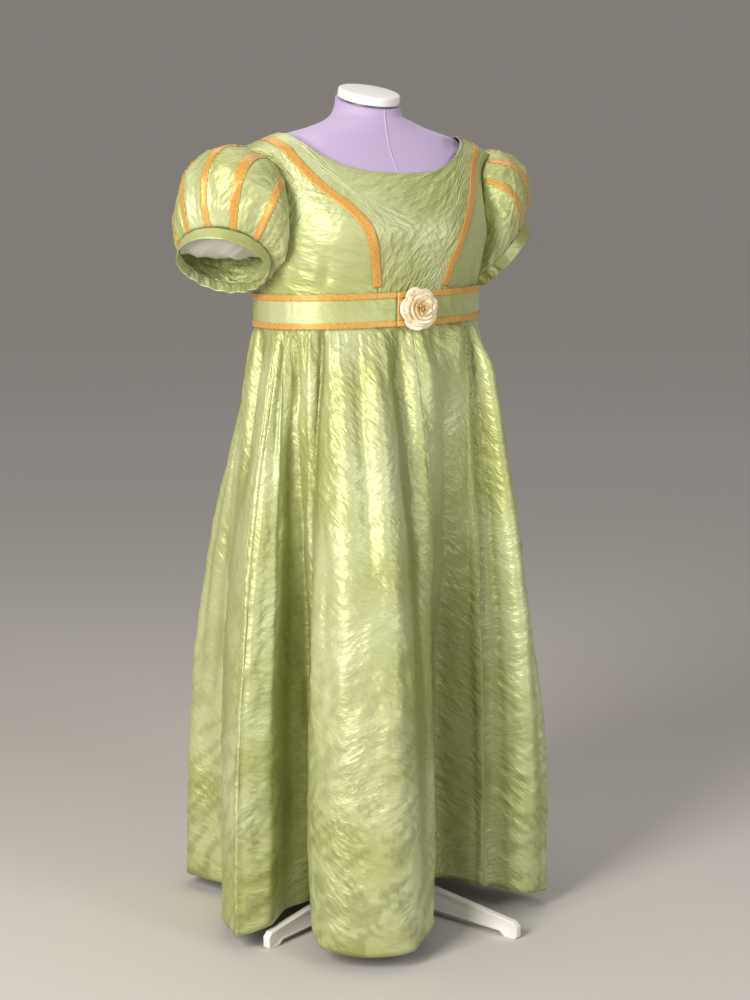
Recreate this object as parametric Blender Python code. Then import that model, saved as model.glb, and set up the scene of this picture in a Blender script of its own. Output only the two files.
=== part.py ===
"""Regency gown of crinkled taffeta on a limbless dress form with a four-legged stand.

Metres, +Z up. The wearer faces -Y and the wearer's left is +X, so names ending in _L lie at +X.
The floor is z = 0, with the origin under the middle of the whole piece. Angles run round the
body from the wearer's left side: 0 is the left side, -90 degrees the front, 90 degrees the back.
"""

import bisect
import math
from collections import namedtuple

import bmesh
import bpy
from mathutils import Matrix, Vector

# ---- driving dimensions -------------------------------------------------------------------------
BODY_AXIS = (0.014, 0.002, 0)  # the body's own axis, which all that follows is worked out from
CLOTH = 0.0018  # wall of the taffeta
RIBBON = 0.0010  # wall of the satin ribbon
GAP = 0.0003  # between two pieces at a seam
REST_GAP = 0.0006  # between a piece and what it lies on, facets included

WAIST = 1.100  # height of the seam that joins bodice and skirt
BELT_TOP = 1.130
BELT_HEIGHT = 0.058
BELT_WALL = 0.0020
BELT_CLEAR = 0.0020  # between the belt and the gown, where it bows most between two facets
BELT_RIBBON = 0.010  # width of the ribbon along each edge of the belt
BELT_TILT = 0.030  # rise of the belt towards the wearer's left, per metre

SHOULDER_NECK = 1.396  # shoulder seam at the neck edge
SHOULDER_SEAM = 1.385  # where the princess seam meets it
SHOULDER_ARM = 1.368  # and at the armhole
SHOULDER_SLOPE = 0.42  # fall of the shoulder seam for each metre out
NECK_FRONT = 1.329
NECK_BACK = 1.352
PRINCESS_RIBBON = 0.0155
RIBBON_START = 1.136  # just above the belt
BODICE_RIBBON_LIFT = 0.0024  # of the ribbon's face from the bodice's

ARMHOLE_Z = 1.278
ARMHOLE_HALF_DEPTH = 0.064
ARMHOLE_HALF_HEIGHT = SHOULDER_ARM - ARMHOLE_Z
SLEEVE_LAP = 0.0020  # how far the sleeve's seam lies outside the armhole's edge
CUFF_WIDTH = 0.022
SLEEVE_COLUMNS = 36
SLEEVE_ROWS = 7

HEM_MEAN = 0.272  # radius of the hem with its folds smoothed out
FLARE = 2.46  # how early the skirt spreads below the belt
FLARE_BACK = 0.04  # and how much earlier it does so at the wearer's right and back
FLARE_TURN = math.radians(60)
SKIRT_COLUMNS = 108
SKIRT_ROWS = 11  # the first lies under the belt
BODICE_ROWS = 12
UNDERARM_ROWS = 4  # of them up the side seam, the rest round the armhole
FRONT_COLUMNS = 12
BACK_COLUMNS = 8
BACK_NECK_COLUMNS = 5
CORE_TOP = 1.30  # height that the bodice's surface is projected from at the shoulders
NECK_CURVE = 2.9  # power of the neckline's rise towards the shoulders
FACING_ROWS = 2  # rows of the bodice that the facing of its neck edge covers
GATHERS = 27  # small gathers round the waist
SIDE_SEAM = math.radians(-15)  # the skirt's side seams lie this far forward of the sides

FORM_BASE = 0.780
NECK_TOP = 1.452
NECK_SLOPE = 0.30  # the neck's top leans down towards the front
CAP_RADIUS = 0.0545
CAP_HEIGHT = 0.015
GASKET_HEIGHT = 0.004
POLE_RADIUS = 0.0125
HUB_RADIUS = 0.032
LEG_REACH = 0.313
STAND_SHIFT = (0.022, -0.003)  # of the pole and its hub from the middle of the form
LEG_WIDTH = 0.014
LEG_TURN = math.radians(20)  # how far the stand is turned from the wearer's left

# ---- tables ------------------------------------------------------------------------------------
# Outside of the bodice, which the belt and the top of the skirt lie on.
Section = namedtuple("Section", "z half_width front back")
TORSO = (
    Section(1.040, 0.203, 0.148, 0.160),
    Section(1.130, 0.204, 0.149, 0.161),
    Section(1.180, 0.208, 0.160, 0.165),
    Section(1.230, 0.212, 0.171, 0.167),
    Section(1.270, 0.214, 0.160, 0.163),
    Section(1.300, 0.219, 0.137, 0.155),
    Section(1.330, 0.228, 0.108, 0.140),
    Section(1.350, 0.238, 0.091, 0.122),
    Section(1.362, 0.245, 0.084, 0.108),
    Section(1.370, 0.240, 0.080, 0.101),
    Section(1.380, 0.218, 0.077, 0.093),
    Section(1.396, 0.179, 0.072, 0.080),
    Section(1.411, 0.118, 0.064, 0.068),
)

# The dress form, which is clear of the gown except where the straps lie on its shoulders.
FORM = (
    Section(0.780, 0.150, 0.100, 0.118),
    Section(0.800, 0.168, 0.116, 0.134),
    Section(0.880, 0.178, 0.124, 0.146),
    Section(0.980, 0.178, 0.124, 0.144),
    Section(1.060, 0.190, 0.136, 0.148),
    Section(1.130, 0.194, 0.139, 0.151),
    Section(1.180, 0.197, 0.149, 0.154),
    Section(1.230, 0.200, 0.160, 0.156),
    Section(1.270, 0.202, 0.149, 0.152),
    Section(1.300, 0.204, 0.126, 0.144),
    Section(1.330, 0.205, 0.097, 0.128),
    Section(1.350, 0.205, 0.080, 0.110),
    Section(1.366, 0.204, 0.072, 0.094),
    Section(1.378, 0.1955, 0.054, 0.083),
    Section(1.386, 0.1845, 0.049, 0.077),
    Section(1.392, 0.1735, 0.053, 0.073),
    Section(1.407, 0.1150, 0.060, 0.065),
    Section(1.425, 0.0690, 0.057, 0.060),
    Section(1.440, 0.0570, 0.056, 0.057),
    Section(1.460, 0.0550, 0.055, 0.056),
)
ROUNDNESS = 2.2  # power of the ovals that the sections are

# Distance of the princess seam from the centre front.
Seam = namedtuple("Seam", "z x")
PRINCESS = (
    Seam(1.100, 0.060),
    Seam(1.150, 0.070),
    Seam(1.185, 0.078),
    Seam(1.215, 0.086),
    Seam(1.245, 0.100),
    Seam(1.275, 0.124),
    Seam(1.300, 0.147),
    Seam(1.330, 0.168),
    Seam(1.360, 0.187),
    Seam(1.385, 0.206),
)

# Soft relief of the bodice, outwards where positive: bust, darts and drag lines under the bust.
Relief = namedtuple("Relief", "degrees z half_degrees half_height rise")
BODICE_RELIEF = (
    Relief(-58, 1.228, 24, 0.050, 0.0075),
    Relief(-122, 1.228, 24, 0.050, 0.0075),
    Relief(-90, 1.235, 12, 0.040, -0.0030),
    Relief(-134, 1.160, 3.2, 0.035, -0.0034),
    Relief(-141, 1.160, 3.6, 0.030, 0.0022),
    Relief(-46, 1.158, 3.2, 0.032, -0.0034),
    Relief(-39, 1.158, 3.6, 0.028, 0.0022),
    Relief(-160, 1.170, 5.0, 0.040, -0.0034),
    Relief(-170, 1.165, 4.0, 0.035, 0.0024),
    Relief(-22, 1.170, 5.0, 0.040, -0.0028),
)

# The skirt's folds at the hem, each with the valley that follows it anticlockwise.
Fold = namedtuple("Fold", "crest reach half hem valley valley_reach valley_half valley_hem")
FOLDS = (
    Fold(-120, 0.327, 14, 0.031, -68, 0.166, 13, 0.068),  # broad lobe at the front
    Fold(-34, 0.321, 6, 0.033, -5, 0.226, 4, 0.050),
    Fold(20, 0.330, 7, 0.040, 43, 0.226, 4, 0.052),
    Fold(64, 0.322, 7, 0.041, 85, 0.226, 4, 0.052),
    Fold(104, 0.312, 5, 0.041, 116, 0.262, 2, 0.048),
    Fold(130, 0.351, 6, 0.026, 151, 0.246, 4, 0.026),
    Fold(196, 0.333, 3, 0.031, 205, 0.186, 2, 0.055),
)

# Lesser folds, by their place at the belt and at the hem as shares of the skirt's width from the
# middle of the front lobe, anticlockwise; their half width is such a share too. A trough has a
# negative rise. Each runs from start to end, as shares of the way down.
Crease = namedtuple("Crease", "top hem half_width rise start end")
CREASES = (
    Crease(0.984, 0.981, 0.013, 0.0050, 0.00, 0.80),
    Crease(0.004, 0.003, 0.007, -0.0070, 0.00, 0.45),
    Crease(0.036, 0.012, 0.012, 0.0060, 0.00, 0.90),
    Crease(0.061, 0.046, 0.012, -0.0110, 0.00, 1.20),
    Crease(0.090, 0.108, 0.010, 0.0090, 0.00, 0.60),
    Crease(0.110, 0.127, 0.008, -0.0090, 0.18, 1.20),
    Crease(0.130, 0.142, 0.011, 0.0150, 0.00, 1.30),
    Crease(0.150, 0.165, 0.010, -0.0150, 0.00, 1.30),
    Crease(0.178, 0.186, 0.010, 0.0090, 0.00, 1.10),
    Crease(0.205, 0.212, 0.008, -0.0070, 0.00, 0.70),
    Crease(0.262, 0.268, 0.010, -0.0100, 0.00, 0.80),
    Crease(0.330, 0.336, 0.009, 0.0080, 0.00, 0.60),
    Crease(0.385, 0.378, 0.010, -0.0110, 0.00, 0.90),
    Crease(0.440, 0.446, 0.011, 0.0090, 0.00, 0.70),
    Crease(0.486, 0.480, 0.009, -0.0100, 0.00, 0.85),
    Crease(0.545, 0.540, 0.010, 0.0080, 0.00, 0.65),
    Crease(0.600, 0.608, 0.010, -0.0110, 0.00, 0.90),
    Crease(0.655, 0.660, 0.009, 0.0070, 0.00, 0.60),
    Crease(0.712, 0.706, 0.009, -0.0080, 0.00, 0.85),
    Crease(0.745, 0.738, 0.010, 0.0060, 0.00, 0.90),
    Crease(0.790, 0.812, 0.009, -0.0130, 0.00, 0.32),
    Crease(0.848, 0.852, 0.007, -0.0080, 0.00, 0.28),
    Crease(0.880, 0.872, 0.010, 0.0060, 0.00, 0.80),
    Crease(0.903, 0.905, 0.007, -0.0070, 0.00, 0.16),
    Crease(0.957, 0.922, 0.012, -0.0180, 0.00, 0.70),
)

# Each sleeve: the middle and the outward axis of its cuff, as if on the wearer's left side.
Sleeve = namedtuple("Sleeve", "letter side cuff axis cuff_radius top_bulge side_bulge twist")
SLEEVES = (
    Sleeve("R", -1, (0.284, -0.006, 1.190), (0.44, -0.43, -0.79), 0.0790, 0.059, 0.036, 0.16),
    Sleeve("L", 1, (0.268, 0.000, 1.192), (0.68, -0.25, -0.66), 0.0740, 0.050, 0.034, 0.0),
)
SLEEVE_GATHERS = 18
LINING_SEAT = 0.0005  # between a cuff and its lining's upper edge
RIBBON_INSET = 0.15  # of the first row of a sleeve, which its ribbons leave bare
ELASTIC_WAVES = 18  # per turn, though only the underarm part of a cuff is elasticated
RIBBON_COLUMNS = (2, 5, 8, 11, 14)  # columns of a sleeve that its ribbons cover, front to back

# The rosette's rings of petals, widest first, each seated in the one before; rise is that of its rim.
Petals = namedtuple("Petals", "name count radius rise turn scallop")
ROSETTE = (
    Petals("flower_outer", 5, 0.0370, 0.0080, 0.30, 0.10),
    Petals("flower_middle", 4, 0.0285, 0.0125, 0.95, 0.12),
    Petals("flower_inner", 3, 0.0185, 0.0165, 0.20, 0.14),
)
PETAL = 0.0009  # wall of a petal
PETAL_WAVE = 0.0016  # of the rims, up and down
FLOWER_HOLE = 0.0025  # radius that each ring starts from


# ---- curves through tables ---------------------------------------------------------------------
def smooth(rows, at):
    """The other columns of a table at a value of its first column, on a smooth curve."""
    keys = [row[0] for row in rows]
    at = min(max(at, keys[0]), keys[-1])
    i = min(max(bisect.bisect_right(keys, at) - 1, 0), len(rows) - 2)
    span = keys[i + 1] - keys[i]
    t = (at - keys[i]) / span
    before, after = max(i - 1, 0), min(i + 2, len(rows) - 1)
    found = []
    for column in range(1, len(rows[0])):
        here, there = rows[i][column], rows[i + 1][column]
        slope_here = (there - rows[before][column]) / (keys[i + 1] - keys[before]) * span
        slope_there = (rows[after][column] - here) / (keys[after] - keys[i]) * span
        found.append(
            (2 * t**3 - 3 * t**2 + 1) * here
            + (t**3 - 2 * t**2 + t) * slope_here
            + (3 * t**2 - 2 * t**3) * there
            + (t**3 - t**2) * slope_there
        )
    return found


def ease(t):
    """0 to 1 with a soft start and end."""
    t = min(max(t, 0.0), 1.0)
    return t * t * (3 - 2 * t)


def power(value, exponent):
    return math.copysign(abs(value) ** exponent, value)


# ---- the body's surface ------------------------------------------------------------------------
def torso_outline(angle, z, table=TORSO):
    half_width, front, back = smooth(table, z)
    depth = front if math.sin(angle) < 0 else back
    x = half_width * power(math.cos(angle), 2 / ROUNDNESS)
    y = depth * power(math.sin(angle), 2 / ROUNDNESS)
    return Vector((x, y, z))


def torso_level(point):
    """Under 1 inside the torso's outline, 1 on it and more outside."""
    half_width, front, back = smooth(TORSO, point.z)
    depth = front if point.y < 0 else back
    return (abs(point.x) / half_width) ** ROUNDNESS + (abs(point.y) / depth) ** ROUNDNESS


def on_torso(point):
    """The point moved out from the body's core, or in towards it, until it is on the outline."""
    core = Vector((0.6 * point.x, 0, min(point.z, CORE_TOP)))
    low, high = 0.1, 3.0
    for _ in range(24):
        middle = (low + high) / 2
        if torso_level(core + (point - core) * middle) < 1:
            low = middle
        else:
            high = middle
    return core + (point - core) * low


def torso_normal(point):
    steps = (Vector((0.0002, 0, 0)), Vector((0, 0.0002, 0)), Vector((0, 0, 0.0002)))
    return Vector([torso_level(point + step) - torso_level(point - step) for step in steps]).normalized()


def relief(point):
    """Rise of the bust, darts and drag lines over the outline."""
    half_width, front, back = smooth(TORSO, point.z)
    depth = front if point.y < 0 else back
    across, along = power(point.x / half_width, ROUNDNESS / 2), power(point.y / depth, ROUNDNESS / 2)
    degrees = math.degrees(math.atan2(along, across))
    rise = 0.0
    for r in BODICE_RELIEF:
        away = (degrees - r.degrees + 180) % 360 - 180
        rise += r.rise * math.exp(-((away / r.half_degrees) ** 2) - ((point.z - r.z) / r.half_height) ** 2)
    return rise * ease((point.z - BELT_TOP) / 0.025)


def dressed(point, out=0.0):
    """The bodice's outer surface next to a point, moved out."""
    point = on_torso(point)
    return point + torso_normal(point) * (relief(point) + out)


def moved_out(surface, a, b, out, step_a, step_b):
    """A point of surface(a, b), moved out along its normal, away from the body's axis."""
    point = surface(a, b)
    along = surface(a + step_a, b) - surface(a - step_a, b)
    across = surface(a, b + step_b) - surface(a, b - step_b)
    return point + along.cross(across).normalized() * out


def torso(angle, z, out=0.0):
    return moved_out(torso_outline, angle, z, out, 0.004, 0.0008)


def torso_at_x(x, z, sign):
    """The point of the outline that is x from the middle, before (sign -1) or behind the sides."""
    half_width, front, back = smooth(TORSO, z)
    share = min(x / half_width, 1.0)
    depth = front if sign < 0 else back
    return Vector((share * half_width, sign * depth * (1 - share**ROUNDNESS) ** (1 / ROUNDNESS), z))


def torso_at_y(y, z, out=0.0):
    """The point of the wearer's left side that is y from the middle, with out added to its x."""
    half_width, front, back = smooth(TORSO, z)
    share = min(abs(y) / (front if y < 0 else back), 1.0)
    return Vector((half_width * (1 - share**ROUNDNESS) ** (1 / ROUNDNESS) + out, y, z))


# ---- solids ------------------------------------------------------------------------------------
def material(name, colour, roughness, metallic=0.0):
    made = bpy.data.materials.new(name)
    made.use_nodes = True
    shader = made.node_tree.nodes["Principled BSDF"]
    shader.inputs["Base Color"].default_value = (*colour, 1)
    shader.inputs["Roughness"].default_value = roughness
    shader.inputs["Metallic"].default_value = metallic
    return made


def finish(name, bm, surface_material, smooth_shaded=True):
    """Makes the object of a closed bmesh, with its faces pointing out."""
    bmesh.ops.recalc_face_normals(bm, faces=bm.faces[:])
    bmesh.ops.translate(bm, vec=BODY_AXIS, verts=bm.verts[:])
    mesh = bpy.data.meshes.new(name)
    bm.to_mesh(mesh)
    bm.free()
    mesh.materials.append(surface_material)
    if smooth_shaded:
        mesh.shade_smooth()
        mesh.set_sharp_from_angle(angle=math.radians(40))
    made = bpy.data.objects.new(name, mesh)
    bpy.context.scene.collection.objects.link(made)
    return made


def cloth(name, columns, rows, place, wall, surface_material, closed=False):
    """A wall over place(u, v, out), with u and v from 0 to 1; a closed one is a tube round u."""
    bm = bmesh.new()
    bmesh.ops.create_grid(bm, x_segments=columns, y_segments=rows, size=0.5)
    at = bm.verts.layers.float_vector.new("at")
    for vert in bm.verts:
        vert[at] = (vert.co.x + 0.5, vert.co.y + 0.5, 0)
        vert.co = place(vert[at].x, vert[at].y, 0.0)
    if closed:
        bmesh.ops.remove_doubles(bm, verts=bm.verts[:], dist=1e-6)
    inner = bmesh.ops.extrude_face_region(bm, geom=bm.faces[:])["geom"]
    for vert in (item for item in inner if isinstance(item, bmesh.types.BMVert)):
        vert.co = place(vert[at].x, vert[at].y, -wall)
    return finish(name, bm, surface_material)


def turned(name, profile, steps, surface_material, matrix=None):
    """A solid spun about Z from (radius, height) points that start and end on the axis."""
    bm = bmesh.new()
    verts = [bm.verts.new((radius, 0, height)) for radius, height in profile]
    edges = [bm.edges.new(pair) for pair in zip(verts, verts[1:])]
    bmesh.ops.spin(
        bm, geom=verts + edges, cent=(0, 0, 0), axis=(0, 0, 1), angle=math.tau, steps=steps, use_merge=True
    )
    bmesh.ops.remove_doubles(bm, verts=bm.verts[:], dist=1e-6)
    bmesh.ops.transform(bm, matrix=matrix or Matrix.Identity(4), verts=bm.verts[:])
    return finish(name, bm, surface_material)


# ---- bodice ------------------------------------------------------------------------------------
def evenly(curve, steps=160):
    """The curve with its parameter made proportional to the length along it."""
    points = [curve(i / steps) for i in range(steps + 1)]
    lengths = [0.0]
    for here, there in zip(points, points[1:]):
        lengths.append(lengths[-1] + (there - here).length)

    def at(t):
        wanted = min(max(t, 0.0), 1.0) * lengths[-1]
        i = min(bisect.bisect_right(lengths, wanted), steps) - 1
        return points[i].lerp(points[i + 1], (wanted - lengths[i]) / max(lengths[i + 1] - lengths[i], 1e-9))

    return at


def joined(first, second, share):
    """Two curves one after the other, the first up to this share of the parameter."""

    def at(t):
        return first(t / share) if t <= share + 1e-9 else second((t - share) / (1 - share))

    return at


def coons(bottom, top, left, right):
    """A patch between four curves that meet at its corners."""

    def at(u, v):
        mixed = bottom(u) * (1 - v) + top(u) * v + left(v) * (1 - u) + right(v) * u
        corners = (bottom(0) * (1 - u) + bottom(1) * u) * (1 - v) + (top(0) * (1 - u) + top(1) * u) * v
        return mixed - corners

    return at


def flipped(point):
    return Vector((-point.x, point.y, point.z))


def princess(offset):
    """The princess seam on the wearer's left from the waist to the shoulder, offset sideways."""
    top = SHOULDER_SEAM - offset * SHOULDER_SLOPE
    miss = smooth(TORSO, top)[0] - smooth(PRINCESS, top)[0] - offset  # closed over the top 20 mm

    def at(t):
        z = WAIST + GAP / 2 + (top - WAIST - GAP / 2) * t
        x = smooth(PRINCESS, z)[0] + offset + miss * ease(1 - (top - z) / 0.020)
        point = torso_at_x(x, z, -1)
        return Vector((point.x, min(point.y, -GAP / 2), z))

    return evenly(at)


def neckline(low, sign):
    """From the centre to the shoulder seam, before (sign -1) or behind it."""
    wide = smooth(TORSO, SHOULDER_NECK)[0]

    def at(t):
        x = wide * t
        point = torso_at_x(x, low + (SHOULDER_NECK - low) * t**NECK_CURVE, sign)
        return Vector((x, sign * max(abs(point.y), GAP / 2), point.z))

    return evenly(at)


def shoulder(low, high, sign):
    """Along the shoulder seam from one height to another."""

    def at(t):
        z = low + (high - low) * t
        return Vector((smooth(TORSO, z)[0], sign * GAP / 2, z))

    return evenly(at)


def waist(start, end):
    """Along the waist seam between two angles."""
    return evenly(lambda t: torso_outline(start + (end - start) * t, WAIST + GAP / 2))


def side_edge(sign):
    """Up the side seam, then round the armhole to the shoulder, before or behind it by sign."""
    low, high = WAIST + GAP / 2, ARMHOLE_Z - ARMHOLE_HALF_HEIGHT

    def seam(t):
        return torso_at_y(sign * GAP / 2, low + (high - low) * t)

    def armhole(t):
        turn = math.pi * (t - 0.5)
        y = max(ARMHOLE_HALF_DEPTH * math.cos(turn), GAP / 2)
        return torso_at_y(sign * y, ARMHOLE_Z + ARMHOLE_HALF_HEIGHT * math.sin(turn))

    return joined(evenly(seam), evenly(armhole), UNDERARM_ROWS / BODICE_ROWS)


def panel(name, patch, columns, column_range, row_range, wall, surface_material, side=1, below=0.0):
    """A wall over part of a patch of the torso, on the patch's own grid, mirrored by its side."""
    first, last = column_range
    low, high = row_range

    def place(u, v, out):
        where = patch((first + (last - first) * u) / columns, (low + (high - low) * v) / BODICE_ROWS)
        return dressed(where, out - below) * Vector((side, 1, 1))

    cloth(name, last - first, high - low, place, wall, surface_material)


def make_bodice(taffeta, satin, lining):
    seam_in, seam_out = princess(-GAP), princess(GAP)
    seam_angle = -math.acos((seam_out(0).x / smooth(TORSO, WAIST)[0]) ** (ROUNDNESS / 2))
    all_rows = (0, BODICE_ROWS)
    facing_rows = (BODICE_ROWS - FACING_ROWS, BODICE_ROWS)
    facing_below = CLOTH + REST_GAP

    shoulder_share = 2 / FRONT_COLUMNS  # of each half of the front's top edge
    front_half = joined(
        neckline(NECK_FRONT, -1), shoulder(SHOULDER_NECK, seam_in(1).z, -1), 1 - shoulder_share
    )
    front = coons(
        lambda u: seam_in(0).lerp(flipped(seam_in(0)), 1 - u),
        lambda u: front_half(2 * u - 1) if u >= 0.5 else flipped(front_half(1 - 2 * u)),
        lambda v: flipped(seam_in(v)),
        seam_in,
    )
    panel("bodice_front", front, FRONT_COLUMNS, (0, FRONT_COLUMNS), all_rows, CLOTH, taffeta)
    panel(
        "neck_facing_front", front, FRONT_COLUMNS, (1, FRONT_COLUMNS - 1), facing_rows, RIBBON, lining,
        below=facing_below,
    )

    side_front = coons(
        waist(seam_angle, -0.0015), shoulder(seam_out(1).z, SHOULDER_ARM, -1), seam_out, side_edge(-1)
    )
    back_top = joined(
        neckline(NECK_BACK, 1), shoulder(SHOULDER_NECK, SHOULDER_ARM, 1), BACK_NECK_COLUMNS / BACK_COLUMNS
    )
    centre = GAP / 2
    back = coons(
        waist(math.pi / 2 - 0.0012, 0.0015),
        lambda u: Vector((max(back_top(u).x, centre), *back_top(u).yz)),
        evenly(lambda v: torso_at_x(centre, WAIST + GAP / 2 + (NECK_BACK - WAIST - GAP / 2) * v, 1)),
        side_edge(1),
    )
    for letter, side in (("R", -1), ("L", 1)):
        panel(f"bodice_side_front_{letter}", side_front, 6, (0, 6), all_rows, CLOTH, taffeta, side)
        panel(f"bodice_back_{letter}", back, BACK_COLUMNS, (0, BACK_COLUMNS), all_rows, CLOTH, taffeta, side)
        panel(
            f"neck_facing_back_{letter}", back, BACK_COLUMNS, (0, BACK_NECK_COLUMNS), facing_rows,
            RIBBON, lining, side, facing_below,
        )
        make_princess_ribbon(letter, side, satin)


def make_princess_ribbon(letter, side, satin):
    """From just above the belt to the shoulder, along the seam."""
    seam = princess(0.0)
    start = next(t / 200 for t in range(200) if seam(t / 200).z > RIBBON_START)
    first = math.ceil(start * 2 * BODICE_ROWS)
    rows = 2 * BODICE_ROWS - first + 1

    def place(u, v, out):
        row = round(v * rows)
        t = start if row == 0 else min((first + row - 1) / (2 * BODICE_ROWS), 0.997)
        here = on_torso(seam(t))
        along = seam(t + 0.01) - seam(t - 0.01)
        across = along.cross(torso_normal(here)).normalized()
        return dressed(here + across * (0.5 - u) * PRINCESS_RIBBON, BODICE_RIBBON_LIFT + out) * Vector((side, 1, 1))

    cloth(f"princess_ribbon_{letter}", 2, rows, place, RIBBON, satin)


# ---- skirt -------------------------------------------------------------------------------------
def hem_table():
    """Rows of (degrees, reach, height) once round the hem, with a few beyond both ends."""
    rows = []
    for f in FOLDS:
        rows += [
            (f.crest - f.half, f.reach * 0.985, f.hem),
            (f.crest + f.half, f.reach * 0.985, f.hem),
            (f.valley - f.valley_half, f.valley_reach, f.valley_hem),
            (f.valley + f.valley_half, f.valley_reach, f.valley_hem),
        ]
    before = [(degrees - 360, reach, height) for degrees, reach, height in rows[-4:]]
    after = [(degrees + 360, reach, height) for degrees, reach, height in rows[:4]]
    return before + rows + after


HEM = hem_table()
HEM_START = FOLDS[0].crest  # degrees
HEM_STEPS = 720


def hem_outline(degrees):
    """(angle, reach, height) of the hem."""
    turned_degrees = (degrees - HEM_START) % 360 + HEM_START
    reach, height = smooth(HEM, turned_degrees)
    return math.radians(degrees), reach, height


def hem_lengths():
    """Length of the hem from its start to each of its steps."""
    lengths, last = [0.0], None
    for i in range(HEM_STEPS + 1):
        angle, reach, _ = hem_outline(HEM_START + 360 * i / HEM_STEPS)
        here = Vector((reach * math.cos(angle), reach * math.sin(angle)))
        if last is not None:
            lengths.append(lengths[-1] + (here - last).length)
        last = here
    return lengths


HEM_LENGTHS = hem_lengths()


def hem_degrees(share):
    """Degrees round the hem at a share of its length, which may pass 0 or 1."""
    turns = math.floor(share)
    wanted = (share - turns) * HEM_LENGTHS[-1]
    i = min(bisect.bisect_right(HEM_LENGTHS, wanted), HEM_STEPS) - 1
    part = (wanted - HEM_LENGTHS[i]) / (HEM_LENGTHS[i + 1] - HEM_LENGTHS[i])
    return HEM_START + 360 * (turns + (i + part) / HEM_STEPS)


def hem_share(degrees):
    steps = (degrees - HEM_START) / 360 * HEM_STEPS
    turns, steps = divmod(steps, HEM_STEPS)
    i = int(steps)
    low, high = HEM_LENGTHS[i], HEM_LENGTHS[i + 1]
    return turns + (low + (high - low) * (steps - i)) / HEM_LENGTHS[-1]


def crease_rise(share, drop):
    rise = 0.0
    for c in CREASES:
        away = (share - c.top - (c.hem - c.top) * drop**0.6 + 0.5) % 1 - 0.5
        if abs(away) < 3 * c.half_width:
            begun = ease((drop - c.start + 0.12) / 0.12)
            lasting = 1 - ease((drop - 0.65 * c.end) / (0.35 * c.end))
            rise += c.rise * math.exp(-((away / c.half_width) ** 2)) * begun * lasting
    return rise


def skirt_skin(share, fall):
    """The skirt at a share of the hem's length, fall 0 at the waist and 1 at the hem."""
    degrees = hem_degrees(share)
    angle, reach, height = hem_outline(degrees)
    even = HEM_START + 360 * share
    waist_angle = angle + math.radians(0.22 * (even - degrees))
    top = torso_outline(waist_angle, WAIST)
    belt_foot = BELT_TOP - BELT_HEIGHT + BELT_TILT * top.x - 0.002
    under_belt = 1 / SKIRT_ROWS
    if fall < under_belt:
        drop = 0.0
        z = WAIST - GAP / 2 + (belt_foot - WAIST) * fall / under_belt
    else:
        drop = min((fall - under_belt) / (1 - under_belt), 1.0) ** 1.35
        z = belt_foot + (height - belt_foot) * drop
    spread = FLARE + FLARE_BACK * math.sin(angle - FLARE_TURN)
    flare = 1 - (1 - drop) ** spread
    folding = 1 - (1 - drop) ** (spread - 0.3)
    outward = Vector((math.cos(angle), math.sin(angle), 0))
    point = top + (outward * HEM_MEAN - Vector((top.x, top.y, 0))) * flare
    point += outward * (reach - HEM_MEAN) * folding
    wave = math.tau * GATHERS * share
    gather = math.sin(wave + 1.2 * math.sin(5 * waist_angle)) + 0.4 * math.sin(2 * wave + 3 * waist_angle)
    gather *= 0.0032 * math.exp(-drop / 0.10)
    point += outward * (gather + crease_rise(share, drop)) * (1 - math.exp(-drop / 0.02))
    point.z = z
    return point


def make_skirt(taffeta):
    left, right = hem_share(math.degrees(SIDE_SEAM)), hem_share(-180 - math.degrees(SIDE_SEAM))
    front, back = hem_share(-90), hem_share(90)
    seam = GAP / 0.2 / math.tau  # as a share of the width at the waist
    pieces = (
        ("skirt_front_R", right + seam, front - seam),
        ("skirt_front_L", front + seam, left - seam),
        ("skirt_back_L", left + seam, back - seam),
        ("skirt_back_R", back + seam, right + 1 - seam),
    )
    for name, start, end in pieces:
        columns = round(SKIRT_COLUMNS * (end - start))

        def place(u, v, out):
            return moved_out(skirt_skin, start + (end - start) * u, v, -out, 0.0008, 0.002)

        cloth(name, columns, SKIRT_ROWS, place, CLOTH, taffeta)


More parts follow.
